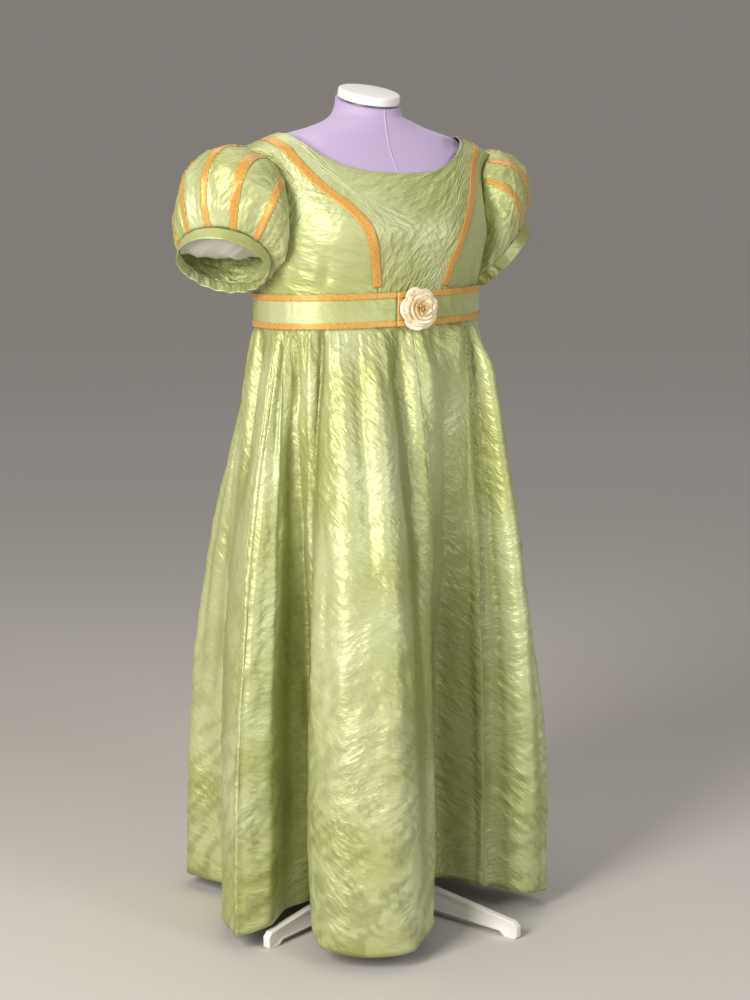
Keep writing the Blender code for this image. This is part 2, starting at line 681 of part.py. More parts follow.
# ---- sleeves -----------------------------------------------------------------------------------
class SleeveForm:
    """One sleeve's surfaces, worked out on the wearer's left side and mirrored by its side."""

    def __init__(self, row):
        self.row = row
        self.mirror = Vector((row.side, 1, 1))
        self.centre = Vector(row.cuff)
        self.axis = Vector(row.axis).normalized()
        self.up = (Vector((0, 0, 1)) - self.axis * self.axis.z).normalized()
        self.front = self.axis.cross(self.up).normalized()
        if self.front.y > 0:
            self.front.negate()

    def armhole(self, turn, out):
        """The armhole's edge at turn (0 front, a quarter turn at the shoulder), out from the body."""
        y = -(ARMHOLE_HALF_DEPTH + SLEEVE_LAP) * math.cos(turn)
        return torso_at_y(y, ARMHOLE_Z + (ARMHOLE_HALF_HEIGHT + SLEEVE_LAP) * math.sin(turn), out)

    def cuff_edge(self, turn, along=0.0, radius=None):
        radius = radius or self.row.cuff_radius
        ring = self.front * math.cos(turn) + self.up * math.sin(turn)
        return self.centre + ring * radius + self.axis * along

    def skin(self, turn, fall):
        """Fall 0 is at the armhole and 1 at the cuff's seam."""
        t = min(max(fall, 0.0), 1.0)
        start, end = self.armhole(turn, 0.0012), self.cuff_edge(turn + self.row.twist)
        core = (Vector((0.215, 0, ARMHOLE_Z)) + self.centre) / 2
        rise = math.sin(turn)
        away = ((start + end) / 2 - core).normalized() + Vector((0.45 + 0.30 * min(rise, 0), 0, 0))
        side = self.row.side_bulge
        bulge = side + (self.row.top_bulge - side if rise > 0 else side * 0.72) * rise
        swell = math.sin(math.pi * t) ** 0.75
        gathers = 0.0042 * math.sin(SLEEVE_GATHERS * turn + 1.1 * math.sin(3 * turn))
        gathers *= math.sin(math.pi * t) ** 0.4 * (math.exp(-t / 0.16) + math.exp(-(1 - t) / 0.24))
        return start.lerp(end, t) + away.normalized() * (bulge * swell + gathers)

    def place(self, u, v, out):
        """On the puff, u once round from the front over the shoulder."""
        return moved_out(self.skin, math.tau * u, v, -out, 0.01, 0.004) * self.mirror

    def cuff(self, u, v, out):
        turn = math.tau * u
        elastic = ease((-math.sin(turn) - 0.15) / 0.35)
        wave = 0.0024 * elastic * math.sin(ELASTIC_WAVES * turn) * math.sin(math.pi * (0.25 + 0.5 * v))
        ring = self.front * math.cos(turn) + self.up * math.sin(turn)
        radius = self.row.cuff_radius - 0.004 * elastic * v + wave + out
        return (self.centre + ring * radius + self.axis * (CLOTH + CUFF_WIDTH * v)) * self.mirror

    def lining(self, u, v, out):
        """A slack curtain behind the cuff's upper arc, falling back into the sleeve."""
        turn = math.pi * (0.04 + 0.92 * u)
        top = self.cuff_edge(turn, 0.004, self.row.cuff_radius - CLOTH - LINING_SEAT)
        middle = self.centre - self.axis * 0.026 - self.up * 0.030
        bottom = middle + self.front * 0.052 * math.cos(turn) - self.up * 0.010 * math.sin(turn)
        sag = self.axis * (0.020 * math.sin(math.pi * v) * math.sin(turn))
        crease = 0.0022 * math.sin(5 * math.pi * u + 4 * v) * math.sin(math.pi * v)
        return (top.lerp(bottom, v) + sag + self.axis * (crease + out)) * self.mirror


def make_sleeve(row, taffeta, satin, lining):
    form = SleeveForm(row)
    cloth(f"sleeve_{row.letter}", SLEEVE_COLUMNS, SLEEVE_ROWS, form.place, CLOTH, taffeta, closed=True)
    cloth(f"cuff_{row.letter}", 54, 1, form.cuff, CLOTH, taffeta, closed=True)
    cloth(f"sleeve_lining_{row.letter}", 10, 4, form.lining, 0.0012, lining)
    for number, column in enumerate(RIBBON_COLUMNS, 1):

        def ribbon(u, v, out):
            across, off = (column + u) / SLEEVE_COLUMNS, REST_GAP + RIBBON + out
            if v > 0:
                return form.place(across, v, off)
            return form.place(across, 0, off).lerp(form.place(across, 1 / SLEEVE_ROWS, off), RIBBON_INSET)

        cloth(f"sleeve_ribbon_{row.letter}{number}", 1, SLEEVE_ROWS, ribbon, RIBBON, satin)


# ---- belt and rosette --------------------------------------------------------------------------
BELT_INNER_END = math.radians(-76)  # under the overlap, on the wearer's left of the centre
BELT_OUTER_END = math.radians(-98)
BELT_COLUMNS = 50
FLOWER_X = 0.006  # the flower hides the belt's outer end


def belt_place(angle, z, out):
    """Round the waist; past one turn the belt lies over its own start and its ribbons."""
    lap = BELT_WALL + RIBBON + 3 * REST_GAP
    rise = lap * ease((BELT_INNER_END - angle - math.tau + 0.45) / 0.40)
    off = BELT_CLEAR + BELT_WALL + rise + out
    foot = BELT_TOP - BELT_HEIGHT
    point = torso(angle, foot, off).lerp(torso(angle, BELT_TOP, off), (z - foot) / BELT_HEIGHT)
    return Vector((point.x, point.y, z + BELT_TILT * point.x))


def make_belt(taffeta, satin):
    span = BELT_OUTER_END - math.tau - BELT_INNER_END
    foot = BELT_TOP - BELT_HEIGHT

    def strip(name, low, high, out_by, wall, surface_material, start=0.0, end=1.0):
        columns = max(round(BELT_COLUMNS * (end - start)), 2)

        def place(u, v, out):
            angle = BELT_INNER_END + span * (start + (end - start) * u)
            return belt_place(angle, low + (high - low) * v, out_by + out)

        cloth(name, columns, 1, place, wall, surface_material)

    over = REST_GAP + RIBBON
    strip("belt", foot, BELT_TOP, 0, BELT_WALL, taffeta)
    strip("belt_ribbon_top", BELT_TOP - BELT_RIBBON, BELT_TOP, over, RIBBON, satin)
    strip("belt_ribbon_bottom", foot, foot + BELT_RIBBON, over, RIBBON, satin)
    low, high = foot + BELT_RIBBON + GAP, BELT_TOP - BELT_RIBBON - GAP
    strip("belt_ribbon_end", low, high, over, RIBBON, satin, 1 - BELT_RIBBON / 1.18, 1.0)


def make_rosette(silk):
    """Nested cups with scalloped rims and a bud in the middle, pinned on the belt."""
    seat = belt_place(-math.pi / 2 - math.tau, BELT_TOP - BELT_HEIGHT / 2, GAP + PETAL)
    seat.x = FLOWER_X

    for ring in ROSETTE:

        def place(u, v, out):
            turn = math.tau * u
            lobes = abs(math.sin(ring.count * (turn - ring.turn) / 2)) ** 0.55
            rim = ring.radius * (1 - ring.scallop + ring.scallop * lobes)
            radius = FLOWER_HOLE + (rim - FLOWER_HOLE) * v
            depth = ring.rise * v**1.7 - PETAL_WAVE * math.cos(ring.count * (turn - ring.turn)) * v * v
            x, z = radius * math.cos(turn), radius * math.sin(turn)
            return seat + Vector((x, -depth - out, z))

        cloth(ring.name, 6 * ring.count, 2, place, PETAL, silk, closed=True)
        seat.y -= PETAL + GAP
    bud = ((0, 0), (0.0021, 0), (0.0050, 0.0070), (0.0056, 0.0120), (0.0036, 0.0165), (0, 0.0175))
    seat.y += PETAL
    turned("flower_bud", bud, 10, silk, Matrix.Translation(seat) @ Matrix.Rotation(math.pi / 2, 4, "X"))


# ---- dress form and stand ----------------------------------------------------------------------
def form_skin(angle, z):
    """The form, whose neck leans down to the front at its top."""
    point = torso_outline(angle, z, FORM)
    lean = NECK_SLOPE * ease((z - 1.415) / 0.035)
    return point + Vector((0, 0, lean * point.y))


def make_form(jersey, plastic, steel):
    bm = bmesh.new()
    rows, columns = 19, 26
    bmesh.ops.create_grid(bm, x_segments=columns, y_segments=rows, size=0.5)
    for vert in bm.verts:
        u, v = vert.co.x + 0.5, vert.co.y + 0.5
        z = FORM_BASE + (NECK_TOP - FORM_BASE) * (1 - (1 - v) ** 1.6)
        vert.co = form_skin(math.tau * u, z)
    bmesh.ops.remove_doubles(bm, verts=bm.verts[:], dist=1e-6)
    bmesh.ops.holes_fill(bm, edges=bm.edges[:])
    finish("form_torso", bm, jersey)

    lean = Matrix.Rotation(math.atan(NECK_SLOPE), 4, "X")
    gasket = ((0, 0), (0.047, 0), (0.047, GASKET_HEIGHT), (0, GASKET_HEIGHT))
    seat = Matrix.Translation((0, 0, NECK_TOP + GAP)) @ lean
    turned("neck_gasket", gasket, 24, steel, seat)
    rim = 0.0035
    cap = (
        (0, 0),
        (CAP_RADIUS - 0.001, 0),
        (CAP_RADIUS, 0.001),
        (CAP_RADIUS, CAP_HEIGHT - rim),
        (CAP_RADIUS - 0.001, CAP_HEIGHT - 0.001),
        (CAP_RADIUS - rim, CAP_HEIGHT),
        (0, CAP_HEIGHT + 0.0015),
    )
    turned("neck_cap", cap, 28, plastic, seat @ Matrix.Translation((0, 0, GASKET_HEIGHT + GAP)))


def make_stand(plastic, steel):
    hub_low, hub_high = 0.012, 0.082
    hub = ((0, hub_low), (HUB_RADIUS, hub_low), (HUB_RADIUS, hub_high), (0.020, hub_high + 0.012), (0, hub_high + 0.012))
    place = Matrix.Translation((*STAND_SHIFT, 0))
    turned("stand_hub", hub, 24, plastic, place)
    low, high = hub_high + 0.012 + GAP, FORM_BASE - GAP
    turned("pole", ((0, low), (POLE_RADIUS, low), (POLE_RADIUS, high), (0, high)), 20, steel, place)

    near = HUB_RADIUS + GAP
    # Side outline of a leg, from the hub's foot round to the hub's top: distance out, height.
    outline = (
        (near, 0.014),
        (LEG_REACH - 0.036, 0.008),
        (LEG_REACH - 0.026, 0.000),
        (LEG_REACH - 0.004, 0.000),
        (LEG_REACH, 0.004),
        (LEG_REACH, 0.022),
        (LEG_REACH - 0.008, 0.030),
        (near, 0.066),
    )
    for number in range(4):
        bm = bmesh.new()
        face = bm.faces.new([bm.verts.new((x, -LEG_WIDTH / 2, z)) for x, z in outline])
        grown = bmesh.ops.extrude_face_region(bm, geom=[face])["geom"]
        verts = [item for item in grown if isinstance(item, bmesh.types.BMVert)]
        bmesh.ops.translate(bm, vec=(0, LEG_WIDTH, 0), verts=verts)
        bmesh.ops.recalc_face_normals(bm, faces=bm.faces[:])
        sides = [f for f in bm.faces if abs(f.normal.y) > 0.9]
        bmesh.ops.inset_individual(bm, faces=sides, thickness=0.0045, depth=-0.0020)
        turn = place @ Matrix.Rotation(LEG_TURN + number * math.pi / 2, 4, "Z")
        bmesh.ops.transform(bm, matrix=turn, verts=bm.verts[:])
        finish(f"stand_leg_{number + 1}", bm, plastic, smooth_shaded=False)


def main():
    for old in list(bpy.data.objects):
        bpy.data.objects.remove(old)
    taffeta = material("green_taffeta", (0.50, 0.55, 0.24), 0.42)
    satin = material("gold_ribbon", (0.76, 0.45, 0.14), 0.38)
    lining = material("white_lining", (0.66, 0.66, 0.60), 0.40)
    silk = material("cream_silk", (0.84, 0.70, 0.48), 0.60)
    jersey = material("lilac_jersey", (0.60, 0.52, 0.68), 0.85)
    plastic = material("white_plastic", (0.80, 0.79, 0.76), 0.35)
    steel = material("grey_steel", (0.42, 0.45, 0.50), 0.40, 0.6)
    make_bodice(taffeta, satin, lining)
    make_skirt(taffeta)
    for row in SLEEVES:
        make_sleeve(row, taffeta, satin, lining)
    make_belt(taffeta, satin)
    make_rosette(silk)
    make_form(jersey, plastic, steel)
    make_stand(plastic, steel)


main()
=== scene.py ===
import math

import bmesh
import bpy
import numpy as np
from mathutils import Matrix, Vector


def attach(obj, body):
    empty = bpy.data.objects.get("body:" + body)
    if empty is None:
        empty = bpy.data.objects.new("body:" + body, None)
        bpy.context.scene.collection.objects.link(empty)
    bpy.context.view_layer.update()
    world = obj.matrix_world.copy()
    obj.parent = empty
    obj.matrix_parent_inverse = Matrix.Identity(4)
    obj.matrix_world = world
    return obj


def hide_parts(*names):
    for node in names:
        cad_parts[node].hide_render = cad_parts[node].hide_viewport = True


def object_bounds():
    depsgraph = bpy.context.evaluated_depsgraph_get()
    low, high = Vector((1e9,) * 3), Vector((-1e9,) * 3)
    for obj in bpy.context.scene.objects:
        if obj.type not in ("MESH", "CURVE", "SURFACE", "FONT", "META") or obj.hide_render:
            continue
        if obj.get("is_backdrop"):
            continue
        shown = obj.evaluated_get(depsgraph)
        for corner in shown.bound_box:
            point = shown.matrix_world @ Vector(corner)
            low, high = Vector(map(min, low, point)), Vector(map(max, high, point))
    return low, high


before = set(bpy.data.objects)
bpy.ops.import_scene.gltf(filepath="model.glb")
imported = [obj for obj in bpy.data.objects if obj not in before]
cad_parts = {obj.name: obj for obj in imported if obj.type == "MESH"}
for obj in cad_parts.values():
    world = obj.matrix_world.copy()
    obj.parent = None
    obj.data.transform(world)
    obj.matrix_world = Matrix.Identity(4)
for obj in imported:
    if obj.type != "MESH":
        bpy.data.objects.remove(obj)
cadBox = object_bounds()

# The gown's own axis. The wearer faces -Y, the wearer's left is +X, and angles turn from there.
bodyAxis = Vector((0.014, 0.002, 0))
clothWall = 0.0008  # taffeta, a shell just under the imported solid's outer face
ribbonWall = 0.0006
seamGap = 0.00015
tau = math.tau


# sRGB hex to linear RGBA
def linearColour(hexText):
    found = []
    for start in (0, 2, 4):
        share = int(hexText[start:start + 2], 16) / 255
        found.append(share / 12.92 if share <= 0.04045 else ((share + 0.055) / 1.055) ** 2.4)
    return (*found, 1.0)


def addNode(tree, kind, inputs=None, **settings):
    node = tree.nodes.new("ShaderNode" + kind)
    for name, value in settings.items():
        setattr(node, name, value)
    for name, value in (inputs or {}).items():
        if isinstance(value, bpy.types.NodeSocket):
            tree.links.new(value, node.inputs[name])
        else:
            node.inputs[name].default_value = value
    return node


def startMaterial(name, **values):
    made = bpy.data.materials.new(name)
    made.use_nodes = True
    shader = made.node_tree.nodes["Principled BSDF"]
    for key, value in values.items():
        shader.inputs[key].default_value = value
    return made, made.node_tree, shader


def soft(t):
    t = np.clip(t, 0.0, 1.0)
    return t * t * (3 - 2 * t)


def signedPower(value, exponent):
    return np.sign(value) * np.abs(value) ** exponent


# The other columns of a table at values of its first, on a smooth curve.
def throughTable(rows, at):
    rows = np.array(rows, float)
    keys = rows[:, 0]
    at = np.clip(at, keys[0], keys[-1])
    i = np.clip(np.searchsorted(keys, at, side="right") - 1, 0, len(rows) - 2)
    before, after = np.maximum(i - 1, 0), np.minimum(i + 2, len(rows) - 1)
    span = keys[i + 1] - keys[i]
    t = (at - keys[i]) / span
    found = []
    for column in rows.T[1:]:
        here, there = column[i], column[i + 1]
        slopeHere = (there - column[before]) / (keys[i + 1] - keys[before]) * span
        slopeThere = (column[after] - here) / (keys[after] - keys[i]) * span
        found.append((2 * t**3 - 3 * t**2 + 1) * here + (t**3 - 2 * t**2 + t) * slopeHere
                     + (3 * t**2 - 2 * t**3) * there + (t**3 - t**2) * slopeThere)
    return found


# Smooth noise from -1 to 1 with a bump for each unit of x and y.
def lattice(x, y, seed):
    table = np.random.default_rng(seed).random((97, 89)) * 2 - 1
    i, j = np.floor(x).astype(int), np.floor(y).astype(int)
    s, t = soft(x - i), soft(y - j)
    corner = lambda di, dj: table[(i + di) % 97, (j + dj) % 89]
    low = corner(0, 0) * (1 - s) + corner(1, 0) * s
    high = corner(0, 1) * (1 - s) + corner(1, 1) * s
    return low * (1 - t) + high * t


# Sharp creases that run at an angle to x, each about this wide and this long, from 0 to 1.
def crinkle(x, y, degrees, across, along, seed):
    turn = math.radians(degrees)
    bend = lattice(x / (1.6 * along), y / (1.6 * along), seed + 7) * 0.9
    u = (x * math.cos(turn) + y * math.sin(turn)) / along
    v = (-x * math.sin(turn) + y * math.cos(turn)) / across + bend * along / across * 0.35
    return (1 - np.abs(lattice(u, v, seed))) ** 2


def unit(vectors):
    return vectors / np.maximum(np.linalg.norm(vectors, axis=-1, keepdims=True), 1e-12)


def linked(name, data):
    piece = bpy.data.objects.new(name, data)
    bpy.context.scene.collection.objects.link(piece)
    return piece


def gridOf(columns, rows):
    return np.meshgrid(np.linspace(0, 1, columns + 1), np.linspace(0, 1, rows + 1))


# A cloth shell over a grid of points, whose outer face looks away from a core point or line.
def sheetMesh(name, points, uv, away, wall, material, wrapped=False, foldShadeAmount=None):
    rows, columns = points.shape[0] - 1, points.shape[1] - 1
    bm = bmesh.new()
    bmesh.ops.create_grid(bm, x_segments=columns, y_segments=rows, size=0.5)
    mesh = bpy.data.meshes.new(name)
    bm.to_mesh(mesh)
    bm.free()
    flat = np.empty(len(mesh.vertices) * 3)
    mesh.vertices.foreach_get("co", flat)
    flat = flat.reshape(-1, 3)
    column = np.rint((flat[:, 0] + 0.5) * columns).astype(int)
    row = np.rint((flat[:, 1] + 0.5) * rows).astype(int)
    shift = np.array(bodyAxis)
    mesh.vertices.foreach_set("co", (points[row, column] + shift).ravel())
    layer = mesh.uv_layers.new(name="cloth")
    corner = np.empty(len(mesh.loops), int)
    mesh.loops.foreach_get("vertex_index", corner)
    layer.data.foreach_set("uv", uv[row, column][corner].ravel())
    # Painted shade for the troughs of the folds, kept on the mesh for the taffeta's colour.
    if foldShadeAmount is not None:
        mesh.attributes.new("paintedFoldShade", "FLOAT", "POINT").data.foreach_set("value", foldShadeAmount[row, column].ravel())
    bm = bmesh.new()
    bm.from_mesh(mesh)
    if wrapped:
        bmesh.ops.remove_doubles(bm, verts=bm.verts[:], dist=1e-6)
    bmesh.ops.recalc_face_normals(bm, faces=bm.faces[:])
    bm.normal_update()
    outward = sum(face.normal.dot(face.calc_center_median() - bodyAxis - Vector(away(face))) for face in bm.faces)
    if outward < 0:
        bmesh.ops.reverse_faces(bm, faces=bm.faces[:])
    bm.to_mesh(mesh)
    bm.free()
    mesh.shade_smooth()
    mesh.materials.append(material)
    piece = linked(name, mesh)
    if wall:
        shell = piece.modifiers.new("wall", "SOLIDIFY")
        shell.thickness = wall
        shell.offset = -1
    return piece


# UVs in metres for a grid: across and down lengths along its middle.
def metresOf(points):
    across = np.linalg.norm(np.diff(points, axis=1), axis=2).mean(axis=0)
    down = np.linalg.norm(np.diff(points, axis=0), axis=2).mean(axis=1)
    u = np.concatenate([[0], np.cumsum(across)])
    v = np.concatenate([[0], np.cumsum(down)])
    return np.stack(np.meshgrid(u, v), axis=-1)


def areaOf(points):
    a, b, c, d = points[:-1, :-1], points[:-1, 1:], points[1:, 1:], points[1:, :-1]
    return float(np.linalg.norm(np.cross(c - a, d - b), axis=-1).sum() / 2)


def meshPiece(name, bm, material, angle=35):
    mesh = bpy.data.meshes.new(name)
    bmesh.ops.recalc_face_normals(bm, faces=bm.faces[:])
    bmesh.ops.translate(bm, vec=bodyAxis, verts=bm.verts[:])
    bm.to_mesh(mesh)
    bm.free()
    mesh.shade_smooth()
    mesh.set_sharp_from_angle(angle=math.radians(angle))
    mesh.materials.append(material)
    return linked(name, mesh)


def settle(piece, slotName, *nodes):
    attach(piece, "root")
    if nodes:
        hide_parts(*nodes)


# A texture whose bumps are size (length, width) metres and run at an angle to U.
def stretched(tree, kind, place, degrees, size, shift=0.0, **inputs):
    turned = addNode(tree, "Mapping", {"Vector": place, "Location": (shift, 0.7 * shift, 0),
                                       "Rotation": (0, 0, math.radians(degrees)), "Scale": (*size, 1)},
                     vector_type="TEXTURE")
    return addNode(tree, kind, {"Vector": turned.outputs["Vector"], "Scale": 1.0, **inputs}).outputs[0]


# Crushed shot taffeta: a satin gloss broken by slanting creases, with painted shade that turns it olive in the troughs
# of its folds.
def taffetaMaterial(name="crushedShotTaffeta", crush=1.0):
    look = {
        "valley": "b0b672", "crest": "c9ce9a", "paintedShadeOlive": "767b3c",  # olive painted shade for the troughs of the folds
        "creases": (0.033, 0.0145), "crossCreases": (0.029, 0.0135), "hatch": (0.010, 0.0042),
        "slub": (0.045, 0.0016),  # a few threads wide, drawn coarser than it is to show
        "creaseDepth": 0.0023, "hatchDepth": 0.0006, "slubDepth": 0.00018,
    }
    made, tree, shader = startMaterial(name, Roughness=0.44, Metallic=0.29)
    shader.inputs["IOR"].default_value = 1.5
    shader.inputs["Sheen Weight"].default_value = 0.10
    shader.inputs["Sheen Roughness"].default_value = 0.35
    shader.inputs["Sheen Tint"].default_value = linearColour("efe9b4")
    place = addNode(tree, "UVMap", uv_map="cloth").outputs["UV"]
    bend = addNode(tree, "TexNoise", {"Vector": place, "Scale": 7.0, "Detail": 1.0}).outputs["Color"]
    warped = addNode(tree, "VectorMath", {0: bend, 1: (0.022, 0.022, 0)}, operation="MULTIPLY").outputs[0]
    warped = addNode(tree, "VectorMath", {0: place, 1: warped}, operation="ADD").outputs[0]
    rising = stretched(tree, "TexVoronoi", warped, 38, look["creases"], Detail=2.0, Roughness=0.5)
    falling = stretched(tree, "TexVoronoi", warped, -30, look["crossCreases"], 3.1, Detail=2.0, Roughness=0.5)
    patches = addNode(tree, "TexNoise", {"Vector": place, "Scale": 5.5, "Detail": 1.0}).outputs["Fac"]
    share = addNode(tree, "MapRange", {"Value": patches, "From Min": 0.50, "From Max": 0.60}).outputs["Result"]
    creases = addNode(tree, "Mix", {"Factor": share, 2: rising, 3: falling}).outputs[0]
    hatch = stretched(tree, "TexNoise", warped, 24, look["hatch"], 7.7, Detail=2.0)
    aside = addNode(tree, "Math", {0: hatch, 1: 0.5}, operation="SUBTRACT").outputs[0]
    folded = addNode(tree, "Math", {0: aside}, operation="ABSOLUTE").outputs[0]
    slubs = stretched(tree, "TexNoise", place, 0, look["slub"], Detail=2.0)
    tone = addNode(tree, "ValToRGB", {"Fac": patches})
    tone.color_ramp.elements[0].color = linearColour(look["valley"])
    tone.color_ramp.elements[0].position = 0.36
    tone.color_ramp.elements[1].color = linearColour(look["crest"])
    tone.color_ramp.elements[1].position = 0.62
    # Painted shade: the base colour is mixed toward olive by each vertex's painted fold shade.
    depth = addNode(tree, "Attribute", attribute_name="paintedFoldShade").outputs["Fac"]
    baseWithPaintedShade = addNode(tree, "Mix", {"Factor": depth, 6: tone.outputs["Color"], 7: linearColour(look["paintedShadeOlive"])},
                   data_type="RGBA")
    tree.links.new(baseWithPaintedShade.outputs[2], shader.inputs["Base Color"])
    gloss = addNode(tree, "MapRange", {"Value": slubs, "From Min": 0.3, "From Max": 0.7, "To Min": 0.40,
                                       "To Max": 0.50})
    tree.links.new(gloss.outputs["Result"], shader.inputs["Roughness"])
    bump = addNode(tree, "Bump", {"Height": slubs, "Distance": look["slubDepth"]}).outputs["Normal"]
    for height, deep in ((folded, look["hatchDepth"]), (creases, look["creaseDepth"])):
        bump = addNode(tree, "Bump", {"Height": height, "Distance": deep * crush, "Normal": bump}).outputs["Normal"]
    tree.links.new(bump, shader.inputs["Normal"])
    return made


# Woven satin ribbon, orange-gold: fine cross ribs and a smooth gloss.
def ribbonMaterial():
    look = {"base": "dfa852", "shade": "bd8434", "ribPitch": 0.0014, "ribDepth": 0.00022}
    made, tree, shader = startMaterial("goldSatinRibbon", Roughness=0.38, Metallic=0.15)
    shader.inputs["IOR"].default_value = 1.5
    shader.inputs["Sheen Weight"].default_value = 0.15
    place = addNode(tree, "UVMap", uv_map="cloth").outputs["UV"]
    ribs = addNode(tree, "TexNoise", {"Scale": 1.0, "Detail": 2.0})
    pitch = addNode(tree, "Mapping", {"Vector": place}, vector_type="TEXTURE")
    pitch.inputs["Scale"].default_value = (0.006, look["ribPitch"], 1)
    tree.links.new(pitch.outputs["Vector"], ribs.inputs["Vector"])
    tone = addNode(tree, "ValToRGB", {"Fac": ribs.outputs["Fac"]})
    tone.color_ramp.elements[0].color = linearColour(look["shade"])
    tone.color_ramp.elements[0].position = 0.30
    tone.color_ramp.elements[1].color = linearColour(look["base"])
    tone.color_ramp.elements[1].position = 0.58
    tree.links.new(tone.outputs["Color"], shader.inputs["Base Color"])
    bump = addNode(tree, "Bump", {"Height": ribs.outputs["Fac"], "Distance": look["ribDepth"]})
    tree.links.new(bump.outputs["Normal"], shader.inputs["Normal"])
    return made


# A plain finish whose fine grain softens its gloss.
def grainedMaterial(name, hexText, grainScale, grainDepth, detail, values):
    made, tree, shader = startMaterial(name, **values)
    shader.inputs["Base Color"].default_value = linearColour(hexText)
    place = addNode(tree, "TexCoord").outputs["Object"]
    grain = addNode(tree, "TexNoise", {"Vector": place, "Scale": grainScale, "Detail": detail})
    bump = addNode(tree, "Bump", {"Height": grain.outputs["Fac"], "Distance": grainDepth})
    tree.links.new(bump.outputs["Normal"], shader.inputs["Normal"])
    return made


# Matt silk petals, cream with a peach-yellow heart.
def roseMaterial():
    made, tree, shader = startMaterial("creamSilkPetal", Roughness=0.62)
    shader.inputs["Sheen Weight"].default_value = 0.2
    depth = addNode(tree, "Attribute", attribute_name="petalDepth").outputs["Fac"]
    ramp = addNode(tree, "ValToRGB", {"Fac": depth})
    ramp.color_ramp.elements[0].color = linearColour("ecd08e")
    ramp.color_ramp.elements[1].color = linearColour("f8e8c6")
    ramp.color_ramp.elements[1].position = 0.7
    tree.links.new(ramp.outputs["Color"], shader.inputs["Base Color"])
    place = addNode(tree, "TexCoord").outputs["Object"]
    grain = addNode(tree, "TexNoise", {"Vector": place, "Scale": 420.0, "Detail": 2.0})
    bump = addNode(tree, "Bump", {"Height": grain.outputs["Fac"], "Distance": 0.0003})
    tree.links.new(bump.outputs["Normal"], shader.inputs["Normal"])
    return made


# Satin steel tube and collar, brushed round.
def steelMaterial():
    made, tree, shader = startMaterial("satinSteel", Roughness=0.36, Metallic=0.9)
    shader.inputs["Base Color"].default_value = linearColour("8e959c")
    place = addNode(tree, "TexCoord").outputs["Object"]
    brushed = addNode(tree, "Mapping", {"Vector": place, "Scale": (40, 40, 900)})
    grain = addNode(tree, "TexNoise", {"Vector": brushed.outputs["Vector"], "Scale": 1.0, "Detail": 2.0})
    bump = addNode(tree, "Bump", {"Height": grain.outputs["Fac"], "Distance": 0.0002})
    tree.links.new(bump.outputs["Normal"], shader.inputs["Normal"])
    return made


taffeta = taffetaMaterial()
pressedTaffeta = taffetaMaterial("pressedShotTaffeta", 0.35)
satin = ribbonMaterial()
# White acetate lining satin: smooth and glossy, and greyed by what it hangs over.
liningCloth = grainedMaterial("whiteAcetateLining", "c2c2b6", 160.0, 0.0006, 3.0,
                              {"Roughness": 0.28, "IOR": 1.48, "Sheen Weight": 0.1})
roseSilk = roseMaterial()
# Lilac stretch jersey: matt, with a fine knit drawn coarser than it is.
jersey = grainedMaterial("lilacStretchJersey", "bda8cb", 520.0, 0.0002, 1.0,
                         {"Roughness": 0.8, "Sheen Weight": 0.25, "Sheen Roughness": 0.5})
# Moulded white plastic with a faint grain under a soft shine.
plastic = grainedMaterial("whiteMouldedPlastic", "f1eee8", 300.0, 0.0001, 2.0, {"Roughness": 0.38, "IOR": 1.49})
steel = steelMaterial()
print("materials made")

torsoRows = (  # z, half width, depth before, depth behind
    (1.040, 0.203, 0.148, 0.160), (1.130, 0.204, 0.149, 0.161), (1.180, 0.208, 0.160, 0.165),
    (1.230, 0.212, 0.171, 0.167), (1.270, 0.214, 0.160, 0.163), (1.300, 0.219, 0.137, 0.155),
    (1.330, 0.228, 0.108, 0.140), (1.350, 0.238, 0.091, 0.122), (1.362, 0.245, 0.084, 0.108),
    (1.370, 0.240, 0.080, 0.101), (1.380, 0.218, 0.077, 0.093), (1.396, 0.179, 0.072, 0.080),
    (1.411, 0.118, 0.064, 0.068),
)
formRows = (
    (0.780, 0.150, 0.100, 0.118), (0.800, 0.168, 0.116, 0.134), (0.880, 0.178, 0.124, 0.146),
    (0.980, 0.178, 0.124, 0.144), (1.060, 0.190, 0.136, 0.148), (1.130, 0.194, 0.139, 0.151),
    (1.180, 0.197, 0.149, 0.154), (1.230, 0.200, 0.160, 0.156), (1.270, 0.202, 0.149, 0.152),
    (1.300, 0.204, 0.126, 0.144), (1.330, 0.205, 0.097, 0.128), (1.350, 0.205, 0.080, 0.110),
    (1.366, 0.204, 0.072, 0.094), (1.378, 0.1955, 0.054, 0.083), (1.386, 0.1845, 0.049, 0.077),
    (1.392, 0.1735, 0.053, 0.073), (1.407, 0.1150, 0.060, 0.065), (1.425, 0.0690, 0.057, 0.060),
    (1.440, 0.0570, 0.056, 0.057), (1.460, 0.0550, 0.055, 0.056),
)
princessRows = (  # z, distance from the centre front
    (1.100, 0.060), (1.150, 0.070), (1.185, 0.078), (1.215, 0.086), (1.245, 0.100),
    (1.275, 0.124), (1.300, 0.147), (1.330, 0.168), (1.360, 0.187), (1.385, 0.206),
)
bodiceRelief = (  # degrees, z, half degrees, half height, rise
    (-58, 1.228, 24, 0.050, 0.0075), (-122, 1.228, 24, 0.050, 0.0075), (-90, 1.235, 12, 0.040, -0.0030),
    (-134, 1.160, 3.2, 0.035, -0.0034), (-141, 1.160, 3.6, 0.030, 0.0022), (-46, 1.158, 3.2, 0.032, -0.0034),
    (-39, 1.158, 3.6, 0.028, 0.0022), (-160, 1.170, 5.0, 0.040, -0.0034), (-170, 1.165, 4.0, 0.035, 0.0024),
    (-22, 1.170, 5.0, 0.040, -0.0028),
)
roundness = 2.2  # power of the ovals
waistZ, beltTop, beltHeight, beltTilt = 1.100, 1.130, 0.058, 0.030
beltFoot = beltTop - beltHeight


